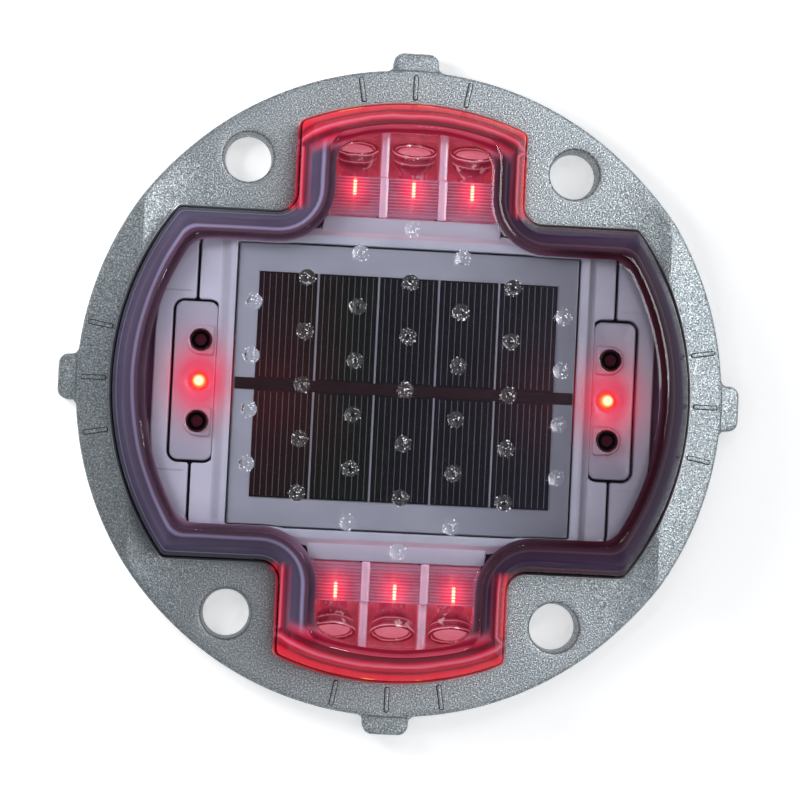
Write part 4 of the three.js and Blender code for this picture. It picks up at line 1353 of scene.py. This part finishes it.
def strips(centres, half, low, z0, z1, r, margin=0.0):
    """Boxes along a row of cells, one round each x in centres."""
    return [(x - half, x + half, low + margin, low + CELL_H - margin, z0, z1, r) for x in centres]


def make_cells(end):
    """Five cells of one row."""
    centres = [k * CELL_PITCH for k in range(-2, 3)]
    sizes = strips(centres, CELL_W / 2, ROWS[end], CELL_Z, CELL_Z + 0.26, 0.06)
    return weighted(boxes(f"cells_{end}", CELL, sizes))


def make_fingers():
    """Fine silver lines printed along each cell."""
    pitch = CELL_W / 9.5
    centres = [i * CELL_PITCH - CELL_W / 2 + pitch * (k + 0.75) for i in range(-2, 3) for k in range(9)]
    sizes = [b for end in ("south", "north")
             for b in strips(centres, 0.075, ROWS[end], CELL_Z + 0.24, CELL_Z + 0.3, 0.02, 0.35)]
    return weighted(boxes("cell_fingers", FINGER, sizes))


def make_separators():
    """Pale lines of board between neighbouring columns of cells."""
    centres = [(i - 1.5) * CELL_PITCH for i in range(4)]
    sizes = [b for end in ("south", "north")
             for b in strips(centres, 0.2, ROWS[end], CELL_Z - 0.04, CELL_Z + 0.2, 0.05)]
    return weighted(boxes("cell_separators", SEPARATOR, sizes))


def make_ribbon():
    """Dark band between the two rows, right across the board."""
    half = PANEL_X / 2 - 0.2
    size = (-half, half, -MID_GAP / 2, MID_GAP / 2, CELL_Z - 0.02, CELL_Z + 0.22, 0.08)
    return weighted(boxes("bus_ribbon_dark", RIBBON, [size]))


put(make_cells("north"), "solar_cell", "cell_string_north")
put(make_cells("south"), "solar_cell", "cell_string_south")
put(make_fingers(), "ribbon")
put(make_separators(), "panel_board")
put(make_ribbon(), "ribbon", "bus_ribbon")


# ---- Light windows -------------------------------------------------------------------------
def turned(obj, sign):
    """A window piece is modelled on the north side and turned half round for the south."""
    if sign < 0:
        obj.data.transform(Matrix.Rotation(math.pi, 4, "Z"))
    return obj


def spread(half, y0, y1, z0, z1, r):
    """The two boxes between the three bays."""
    centres = [side * LAMP_PITCH / 2 for side in SIDES]
    return [(x - half, x + half, y0, y1, z0, z1, r) for x in centres]


def make_trough(end, sign):
    """White tray of one end: strip beside the panel, inner wall, two sides, and a floor in each bay."""
    s = Solid()
    half, side_t = TROUGH_HALF, 0.8
    bar(s, -half - 0.5, half + 0.5, 33.2, BAY_Y, 14.1, 15.3, 0.3)
    bar(s, -half, half, BAY_Y - 1.2, BAY_Y, 4.4, 14.3, 0.2)
    for x in (-half, half - side_t):
        bar(s, x, x + side_t, BAY_Y - 0.2, 53.6, 4.4, 14.2, 0.25)
    # The floor climbs the far end of the bay in fine steps.
    floor = [(BAY_Y, 5.4), (46, 5.4), (50, 5.5), (53.4, 5.7)]
    for k, y in enumerate((54.2, 55.1, 56.0, 56.8, 57.4)):
        floor += [(y, 5.9 + 0.75 * k), (y + 0.12, 6.5 + 0.75 * k)]
    for slot in SLOTS:
        x0, x1 = slot * LAMP_PITCH - BAY_HALF, slot * LAMP_PITCH + BAY_HALF
        across = [s.points([(x0, y, z - 0.8), (x1, y, z - 0.8), (x1, y, z), (x0, y, z)]) for y, z in floor]
        s.stack(across)
        s.faces += [tuple(across[0]), tuple(across[-1])]
    return turned(s.build(f"trough_{end}", WINDOW), sign)


def make_dividers(end, sign):
    """Pale clear ribs between the three bays."""
    return turned(boxes(f"dividers_{end}", DIVIDER, spread(DIVIDER_HALF, 45.6, 57.3, 5.6, 14.3, 0.5)), sign)


def make_prism_window(end, sign):
    """Clear strip over the lights, its top cut in fine ribs across each bay."""
    s = Solid()
    tooth = [(0.02, 0.95), (0.26, 1.22), (0.46, 1.43), (0.60, 1.36)]
    profile = [(RIB_START + k * RIB_PITCH + dy, RIB_Z + dz) for k in range(RIBS) for dy, dz in tooth]
    profile += [(RIB_END, RIB_Z + 1.0), (RIB_END, RIB_Z), (RIB_START, RIB_Z)]
    for slot in SLOTS:
        x0, x1 = slot * LAMP_PITCH - BAY_HALF, slot * LAMP_PITCH + BAY_HALF
        west, east = [s.points([(x, y, z) for y, z in profile]) for x in (x0, x1)]
        s.strip(west, east)
        s.faces += [tuple(west), tuple(east)]
    return turned(s.build(f"prism_window_{end}_ribbed", RIBBED, 25), sign)


def make_window_bands(end, sign):
    """Plain strips between the ribbed fields, in line with the dividers."""
    sizes = spread(DIVIDER_HALF, RIB_START - 0.25, RIB_END, RIB_Z, 15.85, 0.3)
    return turned(boxes(f"window_bands_{end}", DIVIDER, sizes, 35), sign)


def lamp_place(slot, sign):
    """Puts a shape turned about Z on the tilted line of one of the three lights."""
    tilt = Matrix.Rotation(LAMP_TILT - math.pi / 2, 4, "X")
    place = Matrix.Translation((slot * LAMP_PITCH, LAMP_Y, LAMP_Z)) @ tilt
    return Matrix.Rotation(math.pi, 4, "Z") @ place if sign < 0 else place


COLLIMATOR = [
    (0, 6.2), (0.9, 6.1), (1.7, 5.8), (2.3, 5.3), (2.4, 4.6), (2.45, 3.7), (2.6, 3.6), (2.85, 3.7),
    (3.0, 4.8), (3.05, 6.0), (3.5, 6.6), (4.0, 7.3), (4.4, 8.1), (4.7, 9.1), (4.85, 10.0), (4.9, 10.7),
    (4.8, 10.95), (4.5, 11.0), (4.2, 10.9), (4.0, 10.4), (3.7, 10.25), (3.5, 10.45), (2.2, 10.75), (0, 10.85),
]
COLLIMATOR_FACE = 20  # the profile point where the dished front starts
LED_PROFILE = [
    (0, 0), (2.3, 0), (2.3, 0.9), (1.9, 0.95), (1.9, 3.4), (1.75, 4.1), (1.35, 4.75), (0.75, 5.15), (0, 5.3),
]


def make_led_board(end, sign):
    s = Solid()
    bar(s, -17.4, 17.4, -2.6, 2.6, -1.0, -0.2, 0.15)
    place = lamp_place(0, sign)
    s.verts = [tuple(place @ Vector(v)) for v in s.verts]
    return s.build(f"led_board_{end}_white", PCB_WHITE)


for end, sign in (("north", 1), ("south", -1)):
    put(make_trough(end, sign), "white_trim", f"reflector_{end}")
    put(make_dividers(end, sign), "white_trim")
    put(make_prism_window(end, sign), "clear_optic", f"prism_window_{end}")
    put(make_window_bands(end, sign), "clear_optic")
    put(make_led_board(end, sign), "led_board", f"led_board_{end}")
    for n, slot in enumerate(SLOTS, 1):
        place = lamp_place(slot, sign)
        put(lathe(f"led_{end}_{n}_lit", LAMP_BAR, LED_PROFILE, 24, place), "led", f"led_{end}_{n}")
        name = f"collimator_{end}_{n}"
        cup = lathe(name + "_cup", [CUP_SIDE, CUP_FACE], COLLIMATOR, 40, place, 28, COLLIMATOR_FACE)
        put(cup, "clear_optic", name)


# ---- CAD nodes that stay, with better materials ---------------------------------------------
KEPT = [
    (PCB_WHITE, "side_led_board_west", "side_led_board_east"),
    (PCB_GREEN, "main_board"),
    (CHIP, "controller_chip", "inductor"),
    (STEEL, "capacitor", "nickel_strip", *[f"board_screw_{i}" for i in range(1, 5)]),
    (SLEEVE, "battery_1", "battery_2"),
    (RED_WIRE, "panel_wire_red", "battery_wire_red"),
    (BLACK_WIRE, "panel_wire_black", "battery_wire_black", "north_lamp_wire", "south_lamp_wire"),
]
for material, *nodes in KEPT:
    for node in nodes:
        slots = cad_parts[node].data.materials
        slots.clear()
        slots.append(material)


# ---- Stage, lights and camera ---------------------------------------------------------------
def make_stage():
    """Plain pale floor, a little below the part, that gives off some light of its own."""
    mesh = bpy.data.meshes.new("floor")
    size, z = 1.6, -0.0004
    corners = [(-size, -size, z), (size, -size, z), (size, size, z), (-size, size, z)]
    mesh.from_pydata(corners, [], [(0, 1, 2, 3)])
    m = Mat("floor_paper", (0.90, 0.90, 0.90), 0.9)
    m.mottle(40, 2.0, (0.89, 0.89, 0.89), (0.91, 0.91, 0.91))
    m.glow((1, 1, 1), 0.42)
    mesh.materials.append(m.mat)
    add("floor", mesh)


def area_light(name, place, target, size, watts):
    data = bpy.data.lights.new(name, "AREA")
    data.shape = "RECTANGLE"
    data.size = data.size_y = size
    data.energy = watts
    obj = add(name, data)
    obj.location = place
    obj.rotation_euler = (Vector(target) - Vector(place)).to_track_quat("-Z", "Y").to_euler()
    return obj


def make_lights():
    world = bpy.data.worlds.new("studio")
    world.use_nodes = True
    tree = world.node_tree
    sky = tree.nodes["Background"]
    sky.inputs["Strength"].default_value = 1.0
    # Bright round the sides and dim overhead, so that the clear deck mirrors little light.
    kinds = ("TexCoord", "SeparateXYZ", "ValToRGB")
    place, split, ramp = [tree.nodes.new("ShaderNode" + kind) for kind in kinds]
    tree.links.new(place.outputs["Generated"], split.inputs[0])
    tree.links.new(split.outputs["Z"], ramp.inputs["Fac"])
    tree.links.new(ramp.outputs["Color"], sky.inputs["Color"])
    sides, overhead = ramp.color_ramp.elements
    sides.position, sides.color = 0.70, (0.53, 0.54, 0.56, 1)
    overhead.position, overhead.color = 0.93, (0.07, 0.07, 0.08, 1)
    bpy.context.scene.world = world
    # The key gives the metal its sheen, from the east. The fill lights the inner parts, from the west.
    key = area_light("key", (0.26, 0.12, 0.42), (0, 0, 0), 0.22, 1.22)
    key.visible_diffuse = False
    fill = area_light("fill", (-0.19, 0.09, 0.15), (0, 0, 0.01), 0.10, 0.32)
    fill.visible_glossy = fill.visible_transmission = False
    for i in range(10):
        turn, lean = math.radians(36 * i + 10), math.radians((24, 42, 33)[i % 3])
        out, up = 0.5 * math.sin(lean), 0.5 * math.cos(lean)
        area_light(f"soft_{i}", (out * math.cos(turn), out * math.sin(turn), up), (0, 0, 0.02), 0.03, 0.07)


def make_camera():
    """Nearly overhead, a little south-west of the middle, as far away as a hand-held camera."""
    data = bpy.data.cameras.new("camera")
    data.sensor_width = 36
    data.lens = 111.9
    cam = add("camera", data)
    place = Vector((-32.3, -20.7, 550.0)) * MM
    ahead = Vector((0.059, 0.035, -1.0)).normalized()
    right = ahead.cross(Vector((-0.048, 1.0, 0.0))).normalized()
    turn = Matrix((right, right.cross(ahead), -ahead)).transposed().to_4x4()
    cam.matrix_world = Matrix.Translation(place) @ turn
    bpy.context.scene.camera = cam


make_stage()
make_lights()
make_camera()
bpy.context.scene.view_settings.view_transform = "Standard"
